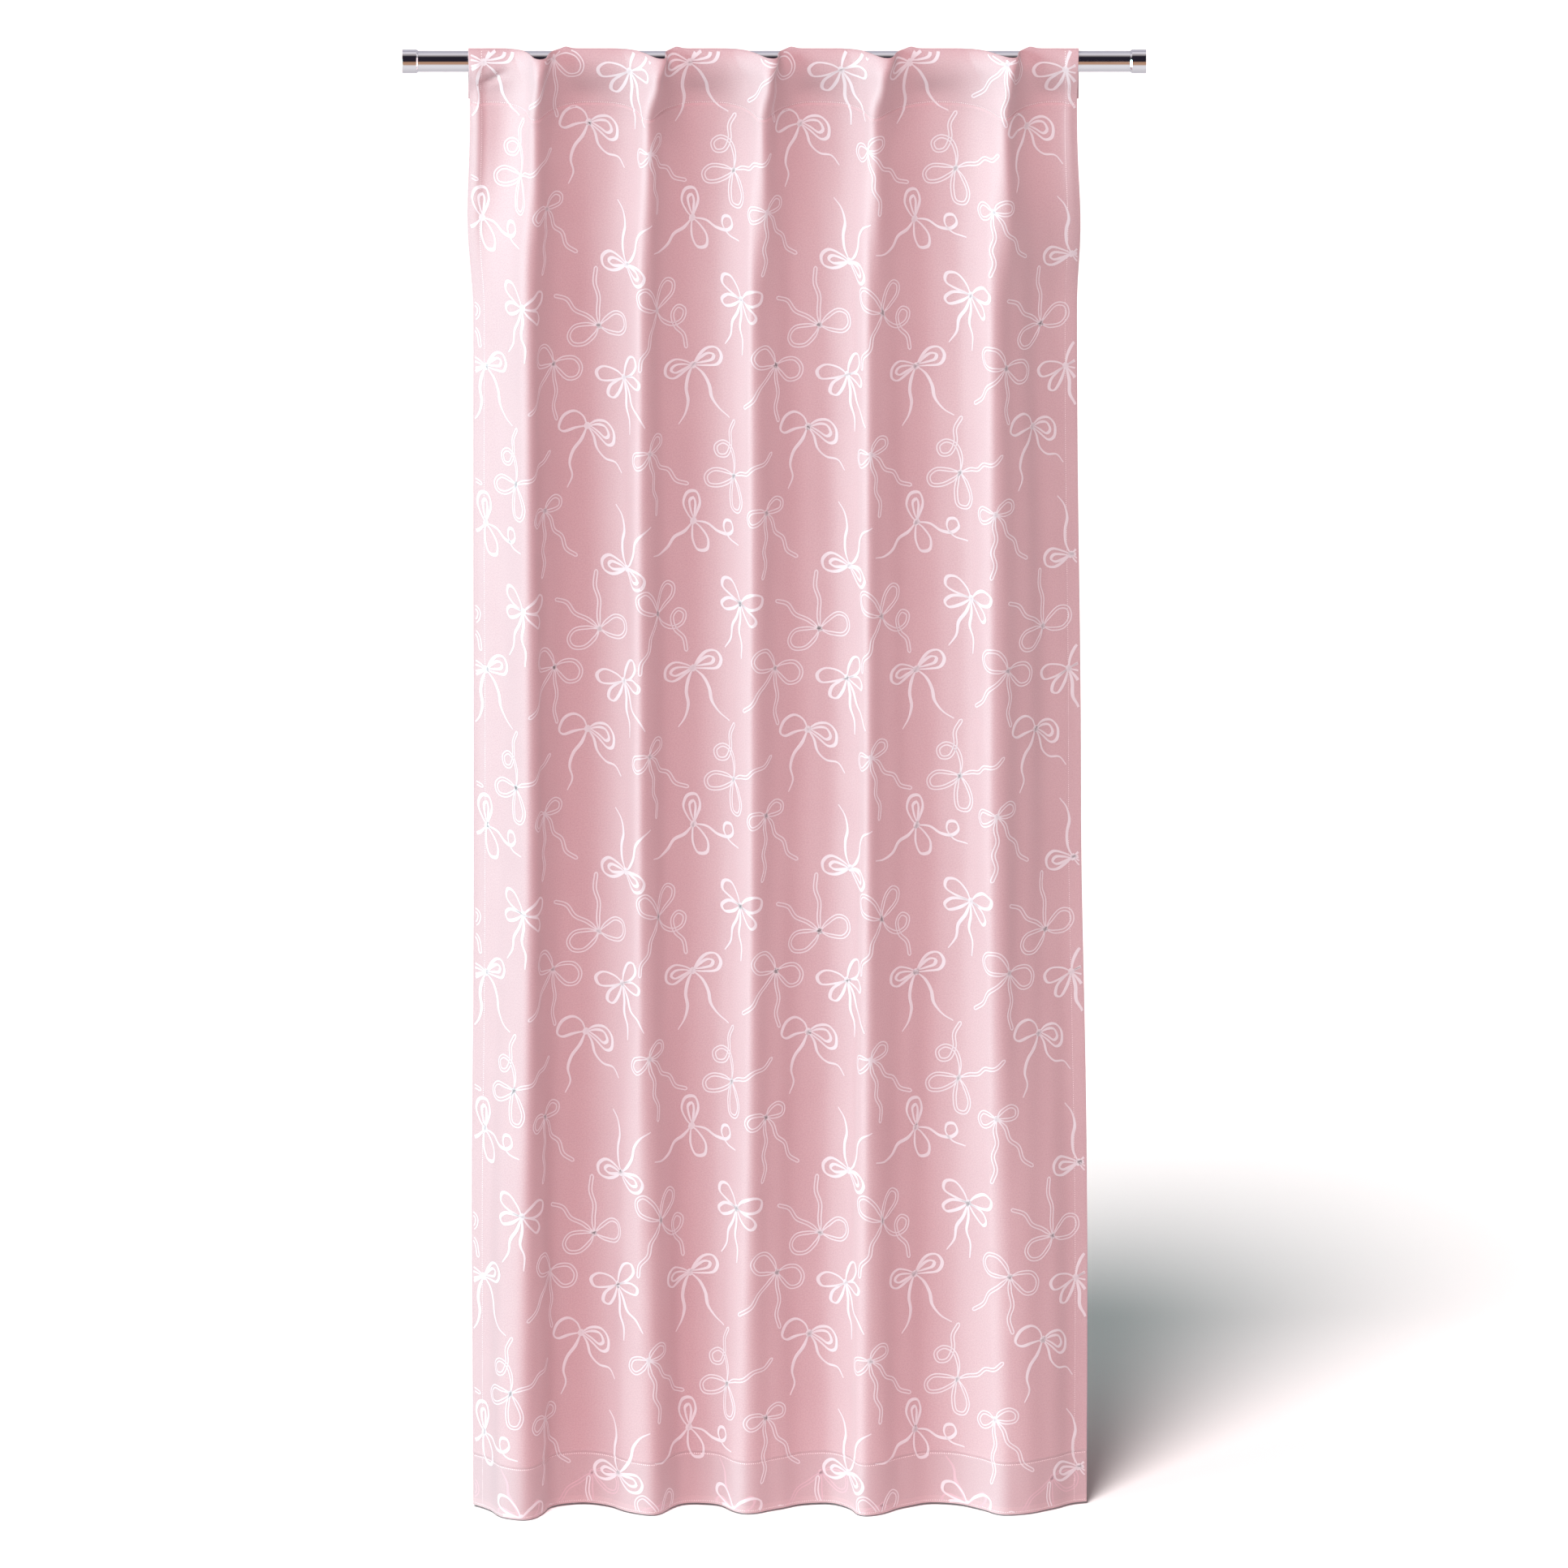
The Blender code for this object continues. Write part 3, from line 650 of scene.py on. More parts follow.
def add_piece(name, points, faces, material, sharp_degrees):
    """A smooth-shaded object of this mesh with faces turned outwards."""
    mesh = bpy.data.meshes.new(name)
    mesh.from_pydata(np.asarray(points).tolist(), [], faces)
    shape = bmesh.new()
    shape.from_mesh(mesh)
    bmesh.ops.recalc_face_normals(shape, faces=shape.faces)
    shape.to_mesh(mesh)
    shape.free()
    mesh.polygons.foreach_set("use_smooth", [True] * len(mesh.polygons))
    mesh.set_sharp_from_angle(angle=math.radians(sharp_degrees))
    mesh.materials.append(material)
    piece = bpy.data.objects.new(name, mesh)
    bpy.context.scene.collection.objects.link(piece)
    return piece


def give_cloth_map(piece, across, drop, doubled):
    """A UV map in metres of flat cloth, and how much of it is doubled."""
    mesh = piece.data
    corners = np.zeros(len(mesh.loops), np.int32)
    mesh.loops.foreach_get("vertex_index", corners)
    flat = np.stack([across[corners], drop[corners]], axis=1)
    layer = mesh.uv_layers.new(name="flat_cloth")
    layer.data.foreach_set("uv", flat.astype(np.float32).ravel())
    spread = mesh.attributes.new("doubled", "FLOAT", "POINT")
    spread.data.foreach_set("value", doubled.astype(np.float32))


def ring_faces(first, ring, rings, upward=()):
    """Triangles between neighbouring rings of points, cut the other way on the upward steps."""
    faces = []
    for number in range(rings - 1):
        here = first + number * ring
        there = here + ring
        for step in range(ring):
            after = (step + 1) % ring
            corners = (here + step, there + step, there + after, here + after)
            if step in upward:
                corners = (*corners[1:], corners[0])
            faces.append(corners[:3])
            faces.append((corners[0], *corners[2:]))
    return faces


def section_loops(head_rows, body_rows, hem_rows):
    """The cloth's upright section as loops of (drop, depth behind the front)."""
    full = 2 * CLOTH_THICKNESS + FOLDED_GAP
    thin = CLOTH_THICKNESS
    foot = CLOTH_DROP
    hem = CLOTH_DROP - HEM_DEPTH
    inwards = EDGE_ROUNDING * ROUND_IN
    front, middle, rear = [full * share for share in ROUND_SHARES]
    down_head = (EDGE_ROUNDING, *head_rows, HEAD_DEPTH - SEAM_WIDTH, HEAD_DEPTH)
    down_hem = (hem, hem + SEAM_WIDTH, *hem_rows, foot - EDGE_ROUNDING)
    outer = [(0.0, middle), (inwards, front)]
    outer += [(drop, 0.0) for drop in (*down_head, *body_rows, *down_hem)]
    outer += [(foot - inwards, front), (foot, middle), (foot - inwards, rear)]
    outer += [(drop, full) for drop in reversed(down_hem)]
    outer += [(hem - SIDE_HEM_STEP, thin)]
    outer += [(drop, thin) for drop in reversed(body_rows)]
    outer += [(HEAD_DEPTH + SIDE_HEM_STEP, thin)]
    outer += [(drop, full) for drop in reversed(down_head)]
    outer += [(inwards, rear)]
    slits = []
    for slit_rows in (
        (2 * EDGE_ROUNDING, *head_rows, HEAD_DEPTH - SEAM_WIDTH),
        (hem + SEAM_WIDTH, *hem_rows, foot - 2 * EDGE_ROUNDING),
    ):
        slit = [(drop, thin) for drop in slit_rows]
        slit += [(drop, thin + FOLDED_GAP) for drop in reversed(slit_rows)]
        slits.append(slit)
    return outer, slits


def side_faces(rings, starts, column):
    """Faces that close the section at a side edge, round the two slits."""
    flat = bmesh.new()
    edges = []
    found = {}
    for ring, first in zip(rings, starts):
        made = [flat.verts.new((depth, drop, 0.0)) for drop, depth in ring]
        for step, vertex in enumerate(made):
            found[vertex] = first + column * len(ring) + step
            edges.append(flat.edges.new((vertex, made[(step + 1) % len(made)])))
    bmesh.ops.triangle_fill(flat, use_beauty=True, use_dissolve=False, edges=edges)
    faces = [tuple(found[vertex] for vertex in face.verts) for face in flat.faces]
    flat.free()
    return faces


def panel_columns():
    """Places across the flat cloth at which its section is repeated."""
    edge = (*EDGE_COLUMNS, SIDE_HEM_WIDTH - SIDE_HEM_STEP, SIDE_HEM_WIDTH)
    inner = np.linspace(INNER_FROM_EDGE, CLOTH_WIDTH - INNER_FROM_EDGE, INNER_COLUMNS)
    return np.array(sorted([*edge, *inner, *(CLOTH_WIDTH - np.array(edge))]))


def panel_rows():
    """Drops of the section's points within the head, the body and the foot hem."""
    hem = CLOTH_DROP - HEM_DEPTH
    above_seam = [HEAD_DEPTH - step for step in ROWS_ABOVE_SEAM]
    head = (*np.linspace(HEAD_ROWS_START, above_seam[0], HEAD_ROWS), *above_seam[1:])
    by_seam = [HEAD_DEPTH + step for step in ROWS_BY_SEAM]
    by_hem = [hem - step for step in reversed(ROWS_BY_SEAM)]
    spread = np.linspace(0, 1, BODY_ROWS) ** BODY_ROW_POWER
    between = HEAD_DEPTH + BODY_ROWS_START + (hem - HEAD_DEPTH - BODY_ROWS_SHORTER) * spread
    body = (*by_seam, *between, *by_hem)
    foot = [hem + step for step in ROWS_BELOW_HEM_SEAM]
    below, above = HEM_ROWS_FROM_ENDS
    foot += list(np.linspace(hem + below, CLOTH_DROP - above, HEM_ROWS))
    turned_in = CLOTH_DROP - TURNED_IN
    foot += [turned_in - TURNED_IN_STEP, turned_in + TURNED_IN_STEP]
    foot += [CLOTH_DROP - step for step in FOOT_ROWS]
    return head, body, foot


def doubled_share(drop, at_side):
    """A little in the head and side hems, one in the foot hem and two where it is turned in."""
    share = HEAD_DOUBLED * ((drop < HEAD_DEPTH) | at_side)
    share = np.maximum(share, 1.0 * (drop > CLOTH_DROP - HEM_DEPTH))
    return share + (drop > CLOTH_DROP - TURNED_IN)


def build_panel(cloth, material):
    """The hemmed cloth: one layer, folded back double at the head and at the foot."""
    columns = panel_columns()
    from_side = np.minimum(columns, CLOTH_WIDTH - columns)
    extra = ((from_side < SIDE_HEM_WIDTH - SIDE_HEM_STEP / 2) * SIDE_HEM_EXTRA)[:, None]
    rounding = np.interp(from_side, EDGE_COLUMNS, EDGE_SHARES)[:, None]
    outer, slits = section_loops(*panel_rows())
    rings = [outer, *slits]
    points, flat, faces, starts = [], [], [], []
    for ring in rings:
        starts.append(sum(len(part) for part in points))
        drops, depths = np.array(ring).T
        across, drop = np.meshgrid(columns, drops, indexing="ij")
        depth = np.broadcast_to(depths, across.shape).copy()
        if ring is outer:
            depth += (depth > CLOTH_THICKNESS / 2) * extra
            middle = (CLOTH_THICKNESS + extra) / 2
            depth = middle + (depth - middle) * rounding
        points.append(cloth.read(across, drop, depth).reshape(-1, 3))
        doubled = doubled_share(drop, extra > 0)
        flat.append(np.stack([across.ravel(), drop.ravel(), doubled.ravel()]))
        after = [*ring[1:], ring[0]]
        upward = {step for step in range(len(ring)) if ring[step][0] > after[step][0]}
        faces += ring_faces(starts[-1], len(ring), len(columns), upward)
    for column in (0, len(columns) - 1):
        faces += side_faces(rings, starts, column)
    panel = add_piece("cloth_panel", np.concatenate(points), faces, material, sharp_degrees=50)
    give_cloth_map(panel, *np.concatenate(flat, axis=1))
    return panel


# The printed bows


def smooth_line(points, step):
    """Even points on a smooth curve through the given ones."""
    points = np.array(points, float)
    ends = np.array([2 * points[0] - points[1], *points, 2 * points[-1] - points[-2]])
    share = np.linspace(0, 1, CURVE_POINTS, endpoint=False)[:, None]
    curve = []
    for a, b, c, d in zip(ends, ends[1:], ends[2:], ends[3:]):
        curve.append(
            0.5 * (2 * b + (c - a) * share + (2 * a - 5 * b + 4 * c - d) * share**2
                   + (3 * b - a - 3 * c + d) * share**3)
        )
    curve = np.concatenate([*curve, points[-1:]])
    length = np.concatenate([[0], np.cumsum(np.linalg.norm(np.diff(curve, axis=0), axis=1))])
    even = np.linspace(0, length[-1], max(int(length[-1] / step), 3) + 1)
    return np.stack([np.interp(even, length, curve[:, axis]) for axis in (0, 1)], axis=1)


def offset_line(line, distance):
    """A line moved sideways by a distance that may change along it."""
    ahead = np.gradient(line, axis=0)
    ahead /= np.maximum(np.linalg.norm(ahead, axis=1, keepdims=True), 1e-9)
    sideways = np.stack([-ahead[:, 1], ahead[:, 0]], axis=1)
    return line + sideways * np.reshape(distance, (-1, 1))


def brushed(line, is_tail):
    """A bold line with the half widths of a soft brush, thin at the knot and at a tail's end."""
    ahead = np.gradient(line, axis=0)
    heading = np.arctan2(ahead[:, 1], ahead[:, 0])
    along = np.linspace(0, 1, len(line))
    from_knot = np.clip(along * STROKE_SWELLS, 0, 1)
    to_end = np.clip((1 - along) * (TAIL_ENDS if is_tail else STROKE_SWELLS), 0, 1)
    by_heading = np.abs(np.sin(heading + BRUSH_SLANT)) ** BRUSH_POWER
    pressed = from_knot * to_end * (BRUSH_LEAST + (1 - BRUSH_LEAST) * by_heading)
    return [(line, BRUSH_THIN + (BRUSH_FULL - BRUSH_THIN) * pressed)]


def outlined(line, is_tail):
    """The two edges of a ribbon as fine lines, rounded off across a tail's end."""
    along = np.linspace(0, 1, len(line))
    from_ends = np.minimum(along, 1 - along)
    opened = along * TAIL_OPENS if is_tail else from_ends * RIBBON_OPENS
    open_up = np.clip(opened, RIBBON_LEAST, 1)
    edges = [offset_line(line, RIBBON * open_up), offset_line(line, -RIBBON * open_up)]
    if is_tail:
        beyond = 2 * line[-1] - line[-2]
        edges.append(smooth_line((edges[0][-1], beyond, edges[1][-1]), STROKE_STEP / 2))
    return [(edge, np.full(len(edge), OUTLINE)) for edge in edges]


def bow_strokes():
    """Every line of every bow on the flat cloth, as (is it bold, line, half widths)."""
    ready = []
    for number, drawing in enumerate(DRAWINGS):
        corners = np.array([point for _, points in drawing for point in points]) / 1000
        middle = (corners.min(axis=0) + corners.max(axis=0)) / 2
        draw = brushed if number in BOLD_DRAWINGS else outlined
        lines = []
        for is_tail, points in drawing:
            lines += draw(smooth_line(np.array(points) / 1000, STROKE_STEP), is_tail)
        knot = np.linspace(0, 2 * math.pi, KNOT_POINTS)
        knot = np.stack([KNOT * np.cos(knot), KNOT_TALLER * KNOT * np.sin(knot)], axis=1)
        knot_half = OUTLINE if draw is outlined else BRUSH_FULL * KNOT_BOLD
        lines.append((knot, np.full(KNOT_POINTS, knot_half)))
        ready.append([(line - middle, half) for line, half in lines])
    strokes = []
    for column in range(-1, int(CLOTH_WIDTH / BOW_TILE_ACROSS) + 2):
        for row in range(-1, int(CLOTH_DROP / BOW_TILE_DROP) + 2):
            for across, drop, turned, number in BOW_PLACES:
                x = (column + across) * BOW_TILE_ACROSS
                y = (row + drop) * BOW_TILE_DROP
                c, s = math.cos(math.radians(turned)), math.sin(math.radians(turned))
                for line, half in ready[number]:
                    flat = np.stack([x + line[:, 0] * c - line[:, 1] * s,
                                     y - line[:, 0] * s - line[:, 1] * c], axis=1)
                    strokes.append((number in BOLD_DRAWINGS, flat, half))
    return strokes


def pieces_inside(line, half):
    """The stretches of a line that lie on the cloth, with their half widths."""
    far = np.array([CLOTH_WIDTH, CLOTH_DROP]) - PRINT_MARGIN
    inside = ((line > PRINT_MARGIN) & (line < far)).all(axis=1)
    breaks = np.flatnonzero(np.diff(inside.astype(int))) + 1
    for part in np.split(np.arange(len(line)), breaks):
        if inside[part[0]] and len(part) > 2:
            yield line[part], half[part]


def inked(cloth, lines, lift, points, faces):
    """Thin raised bands of ink on the cloth, each (line, half width)."""
    for line, half in lines:
        left = offset_line(line, -half)
        right = offset_line(line, half)
        base = len(points)
        rims = [
            cloth.read(rim[:, 0], rim[:, 1], np.full(len(line), depth))
            for rim, depth in ((left, -lift), (right, -lift), (right, INK_SINK), (left, INK_SINK))
        ]
        points.extend(np.stack(rims, axis=1).reshape(-1, 3))
        last = base + 4 * (len(line) - 1)
        faces.append((base, base + 1, base + 2, base + 3))
        faces.append((last + 3, last + 2, last + 1, last))
        for step in range(len(line) - 1):
            here = base + 4 * step
            for side in range(4):
                after = (side + 1) % 4
                faces.append((here + side, here + 4 + side, here + 4 + after, here + after))


def build_print(cloth, material, faint_material):
    """Bold brushed bows, fine outlined ones, and the print showing through the foot hem."""
    names = ("bow_print_bold_above", "bow_print_bold_below", "bow_print_fine_above",
             "bow_print_fine_below", "bow_print_behind_hem")
    drawn = {name: [] for name in names}
    for bold, flat, half in bow_strokes():
        for line, widths in pieces_inside(flat, half):
            below = line[:, 1].mean() > CLOTH_DROP / 2
            drawn[names[(0 if bold else 2) + below]].append((line, widths))
        turned_up = flat * (1, -1) + (0, 2 * CLOTH_DROP)
        for line, widths in pieces_inside(turned_up, half):
            if line[:, 1].min() > CLOTH_DROP - HEM_DEPTH + BEHIND_HEM_MARGIN:
                drawn[names[-1]].append((line, widths))
    pieces = []
    for name, lines in drawn.items():
        points, faces = [], []
        behind = name == names[-1]
        inked(cloth, lines, INK_HEIGHT / 2 if behind else INK_HEIGHT, points, faces)
        surface = faint_material if behind else material
        pieces.append(add_piece(name, points, faces, surface, sharp_degrees=60))
    return pieces


# Sewing


def stitch_run(first, last):
    """The ends of each stitch along a line between two places on the flat cloth."""
    first = np.array(first)
    last = np.array(last)
    whole = np.linalg.norm(last - first)
    ahead = (last - first) / whole
    starts = np.arange(STITCH_GAP, whole - STITCH_LENGTH, STITCH_LENGTH + STITCH_GAP)
    return [(first + ahead * start, first + ahead * (start + STITCH_LENGTH)) for start in starts]


def build_stitches(cloth, material):
    """Thread along the head seam, the foot hem, just above the foot, and the side hems."""
    hem = CLOTH_DROP - HEM_DEPTH
    near_edge = STITCH_FROM_EDGE
    runs = []
    for drop in (HEAD_DEPTH - SEAM_INSET, hem + SEAM_INSET, CLOTH_DROP - FOOT_STITCHES_UP):
        runs += stitch_run((near_edge, drop), (CLOTH_WIDTH - near_edge, drop))
    for across in side_seams():
        runs += stitch_run((across, near_edge), (across, CLOTH_DROP - near_edge))
    points, faces = [], []
    for first, last in runs:
        ahead = (last - first) / np.linalg.norm(last - first)
        side = np.array([-ahead[1], ahead[0]]) * STITCH_HALF_WIDTH
        middle = (first + last) / 2
        flat = np.array([first, last, middle + side, middle - side, middle, middle])
        depth = np.array([STITCH_END_SUNK, STITCH_END_SUNK, 0.0, 0.0, -STITCH_HEIGHT, STITCH_BELOW])
        base = len(points)
        points.extend(cloth.read(flat[:, 0], flat[:, 1], depth))
        for a, b in ((0, 2), (2, 1), (1, 3), (3, 0)):
            faces.append((base + a, base + b, base + 4))
            faces.append((base + b, base + a, base + 5))
    return add_piece("hem_stitches", points, faces, material, sharp_degrees=70)


# Loops behind the head


def loop_line(cloth, across, hem):
    """Centre line of a loop in (Y, Z), from its top flap over the rod to its foot flap."""
    behind = 2 * CLOTH_THICKNESS + FOLDED_GAP + hem + LOOP_CLEARANCE + LOOP_THICKNESS / 2
    drops = np.concatenate([np.linspace(*ends, FLAP_ROWS) for ends in (LOOP_TOP_FLAP, LOOP_FOOT_FLAP)])
    flaps = cloth.read(np.full(len(drops), across), drops, np.full(len(drops), behind))[:, 1:]
    radius = ROD_RADIUS + LOOP_ROD_CLEARANCE + LOOP_THICKNESS / 2
    angles = []
    for flap, turn in ((flaps[FLAP_ROWS - 1], -1), (flaps[FLAP_ROWS], 1)):
        reach = math.hypot(*flap)
        angles.append(math.atan2(flap[1], flap[0]) + turn * math.acos(radius / reach))
    arc = np.linspace(angles[0], angles[1], LOOP_ARC_POINTS)
    outside = radius / math.cos((angles[0] - angles[1]) / (2 * (LOOP_ARC_POINTS - 1)))
    round_rod = np.stack([outside * np.cos(arc), outside * np.sin(arc)], axis=1)
    down = np.linspace(round_rod[-1], flaps[FLAP_ROWS], LOOP_DOWN_POINTS)[1:-1]
    return np.concatenate([flaps[:FLAP_ROWS], round_rod, down, flaps[FLAP_ROWS:]])


def build_loop(cloth, number, material):
    """A flat loop of doubled cloth with rolled edges and a line of thread down each side."""
    across = END_CLOTH + (number - 1) * LOOP_CLOTH
    hem = SIDE_HEM_EXTRA if number in (1, LOOPS) else 0.0
    line = loop_line(cloth, across, hem)
    ahead = np.gradient(line, axis=0)
    ahead /= np.linalg.norm(ahead, axis=1, keepdims=True)
    outward = np.stack([-ahead[:, 1], ahead[:, 0]], axis=1)
    middle = cloth.read(np.array([across]), np.array([HEAD_DEPTH / 2]), np.array([0.0]))[0, 0]
    half = LOOP_WIDTH / 2
    ring = [(place * half, thick) for place, thick in zip(LOOP_PLACES, LOOP_SWELL)]
    ring += [(place, -thick) for place, thick in reversed(ring)]
    lengths = np.concatenate([[0], np.cumsum(np.linalg.norm(np.diff(line, axis=0), axis=1))])
    points, flat_across, flat_drop = [], [], []
    for (y, z), (out_y, out_z), length in zip(line, outward, lengths):
        for side, thick in ring:
            lift = thick * LOOP_THICKNESS / 2
            points.append((middle + side, y + out_y * lift, z + out_z * lift))
            flat_across.append(side)
            flat_drop.append(length)
    faces = ring_faces(0, len(ring), len(line))
    half_ring = len(ring) // 2
    for first in (0, (len(line) - 1) * len(ring)):
        for step in range(half_ring - 1):
            other = len(ring) - 1 - step
            faces.append((first + step, first + step + 1, first + other - 1, first + other))
    loop = add_piece(f"loop_{number}", points, faces, material, sharp_degrees=60)
    give_cloth_map(loop, np.array(flat_across), np.array(flat_drop), np.ones(len(points)))
    return loop, float(lengths[-1])


# Rod and caps


def deselect_all():
    """Leave no object selected, so that the next edit touches the new one alone."""
    for other in bpy.context.view_layer.objects.selected:
        other.select_set(False)


def break_edges(piece, width, segments, sharper_than):
    """Round the edges that turn by more than this many degrees."""
    rim = piece.modifiers.new("rim", "BEVEL")
    rim.width = width
    rim.segments = segments
    rim.limit_method = "ANGLE"
    rim.angle_limit = math.radians(sharper_than)


def finish_metal(piece, name, material, smooth_degrees):
    """Apply its modifiers and its place, smooth it and give it its metal."""
    bpy.context.view_layer.objects.active = piece
    piece.select_set(True)
    for modifier in list(piece.modifiers):
        bpy.ops.object.modifier_apply(modifier=modifier.name)
    bpy.ops.object.transform_apply(location=True, rotation=True, scale=True)
    bpy.ops.object.shade_smooth_by_angle(angle=math.radians(smooth_degrees))
    piece.name = name
    piece.data.name = name
    piece.data.materials.clear()
    piece.data.materials.append(material)
    return piece


def build_rod(material):
    """A tube with its wall turned inwards and its rims broken."""
    deselect_all()
    bpy.ops.mesh.primitive_cylinder_add(
        vertices=TUBE_SIDES, radius=ROD_RADIUS, depth=ROD_LENGTH, end_fill_type="NOTHING",
        rotation=(0, math.pi / 2, 0),
    )
    tube = bpy.context.object
    bpy.ops.object.mode_set(mode="EDIT")
    bpy.ops.mesh.select_all(action="SELECT")
    bpy.ops.mesh.subdivide(number_cuts=1)
    bpy.ops.object.mode_set(mode="OBJECT")
    wall = tube.modifiers.new("wall", "SOLIDIFY")
    wall.thickness = ROD_WALL
    wall.offset = -1
    break_edges(tube, ROD_RIM, segments=2, sharper_than=50)
    return finish_metal(tube, "rod_tube", material, smooth_degrees=40)


def faces_towards(piece, direction):
    """Select the faces that look along a direction."""
    shape = bmesh.from_edit_mesh(piece.data)
    for face in shape.faces:
        face.select = face.normal.dot(direction) > 0.9
    bmesh.update_edit_mesh(piece.data)


def build_cap(name, side, material):
    """A cup over the end of the rod, its mouth tapered towards the rod, its face edge broken."""
    deselect_all()
    face = ROD_LENGTH / 2 + SLIDING_CLEARANCE + CAP_END_WALL
    bore = ROD_RADIUS + SLIDING_CLEARANCE
    straight = CAP_LENGTH - CAP_MOUTH_TAPER
    bpy.ops.mesh.primitive_cylinder_add(vertices=TUBE_SIDES, radius=CAP_RADIUS, depth=straight)
    cap = bpy.context.object
    bpy.ops.object.mode_set(mode="EDIT")
    bpy.ops.mesh.select_mode(type="FACE")
    faces_towards(cap, Vector((0, 0, -1)))
    bpy.ops.mesh.extrude_region_move(
        TRANSFORM_OT_translate={"value": (0, 0, -CAP_MOUTH_TAPER)}
    )
    narrow = (bore + CAP_MOUTH_LIP) / CAP_RADIUS
    bpy.ops.transform.resize(value=(narrow, narrow, 1))
    bpy.ops.mesh.inset(thickness=CAP_MOUTH_LIP)
    bpy.ops.mesh.extrude_region_move(
        TRANSFORM_OT_translate={"value": (0, 0, CAP_LENGTH - CAP_END_WALL)}
    )
    bpy.ops.object.mode_set(mode="OBJECT")
    break_edges(cap, CAP_FACE_EDGE, segments=4, sharper_than=28)
    cap.rotation_euler = (0, side * math.pi / 2, 0)
    cap.location = (side * (face - straight / 2), 0, 0)
    return finish_metal(cap, name, material, smooth_degrees=30)


# Finishes


def new_material(name):
    """A new material with its tree and its shader."""
    material = bpy.data.materials.new(name)
    material.use_nodes = True
    tree = material.node_tree
    return material, tree, tree.nodes["Principled BSDF"]


def noise_texture(tree, vector, scale, detail):
    """Uneven values between nought and one."""
    node = tree.nodes.new("ShaderNodeTexNoise")
    node.inputs["Scale"].default_value = scale
    node.inputs["Detail"].default_value = detail
    tree.links.new(vector, node.inputs["Vector"])
    return node.outputs["Fac"]


def math_node(tree, operation, first, second=0.0):
    """The result of a sum, each side a value or another node's result."""
    node = tree.nodes.new("ShaderNodeMath")
    node.operation = operation
    for socket, value in zip(node.inputs, (first, second)):
        if isinstance(value, (int, float)):
            socket.default_value = value
        else:
            tree.links.new(value, socket)
    return node.outputs[0]


def colour_mix(tree, share, first, second):
    """The first colour with a share of the second."""
    node = tree.nodes.new("ShaderNodeMix")
    node.data_type = "RGBA"
    for socket, value in ((node.inputs[0], share), (node.inputs[6], first), (node.inputs[7], second)):
        if isinstance(value, (int, float, tuple)):
            socket.default_value = value
        else:
            tree.links.new(value, socket)
    return node.outputs[2]


def thread_wave(tree, vector, direction):
    """The rise and fall of threads that lie side by side in a direction."""
    node = tree.nodes.new("ShaderNodeTexWave")
    node.wave_type = "BANDS"
    node.bands_direction = direction
    node.inputs["Scale"].default_value = 2 * math.pi / (20 * THREAD_PERIOD)
    node.inputs["Distortion"].default_value = 0.6
    node.inputs["Detail"].default_value = 1.0
    node.inputs["Detail Scale"].default_value = 1.5
    tree.links.new(vector, node.inputs["Vector"])
    return node.outputs["Fac"]


def bump(tree, shader, height, strength, distance):
    """Give the shader a relief from these heights."""
    node = tree.nodes.new("ShaderNodeBump")
    node.inputs["Strength"].default_value = strength
    node.inputs["Distance"].default_value = distance
    tree.links.new(height, node.inputs["Height"])
    tree.links.new(node.outputs["Normal"], shader.inputs["Normal"])


def woven_cloth(name):
    """A plain weave of uneven yarn, greyer where doubled, speckled where turned in."""
    thread, pale_thread = THREADS
    material, tree, shader = new_material(name)
    flat = tree.nodes.new("ShaderNodeUVMap")
    flat.uv_map = "flat_cloth"
    place = flat.outputs["UV"]
    warp = thread_wave(tree, place, "X")
    weft = thread_wave(tree, place, "Y")
    weave = math_node(tree, "MAXIMUM", warp, weft)
    yarn = noise_texture(tree, place, scale=420.0, detail=2.0)
    cloud = noise_texture(tree, place, scale=9.0, detail=3.0)
    height = math_node(tree, "ADD", weave, math_node(tree, "MULTIPLY", yarn, 0.9))
    mottled = math_node(tree, "ADD", math_node(tree, "MULTIPLY", yarn, 1.7),
                        math_node(tree, "MULTIPLY", cloud, 0.35))
    mottled = math_node(tree, "SUBTRACT", mottled, 0.48)
    colour = colour_mix(tree, mottled, thread, pale_thread)
    doubled = tree.nodes.new("ShaderNodeAttribute")
    doubled.attribute_name = "doubled"
    layers = math_node(tree, "MINIMUM", doubled.outputs["Fac"], 1.0)
    tinted = math_node(tree, "MULTIPLY", layers, DOUBLED_TINT_SHARE)
    colour = colour_mix(tree, tinted, colour, DOUBLED_TINT)
    turned_in = math_node(tree, "SUBTRACT", doubled.outputs["Fac"], 1.0)
    turned_in = math_node(tree, "MAXIMUM", turned_in, 0.0)
    speckled = math_node(tree, "MULTIPLY", turned_in, math_node(tree, "MULTIPLY", yarn, 1.1))
    colour = colour_mix(tree, speckled, colour, pale_thread)
    tree.links.new(colour, shader.inputs["Base Color"])
    shader.inputs["Roughness"].default_value = 0.75
    shader.inputs["Specular IOR Level"].default_value = 1.0
    shader.inputs["IOR"].default_value = 1.9
    shader.inputs["Specular Tint"].default_value = (0.85, 1.0, 1.0, 1.0)
    shader.inputs["Sheen Weight"].default_value = 0.25
    shader.inputs["Sheen Roughness"].default_value = 0.4
    bump(tree, shader, height, strength=0.35, distance=0.0002)
    return material


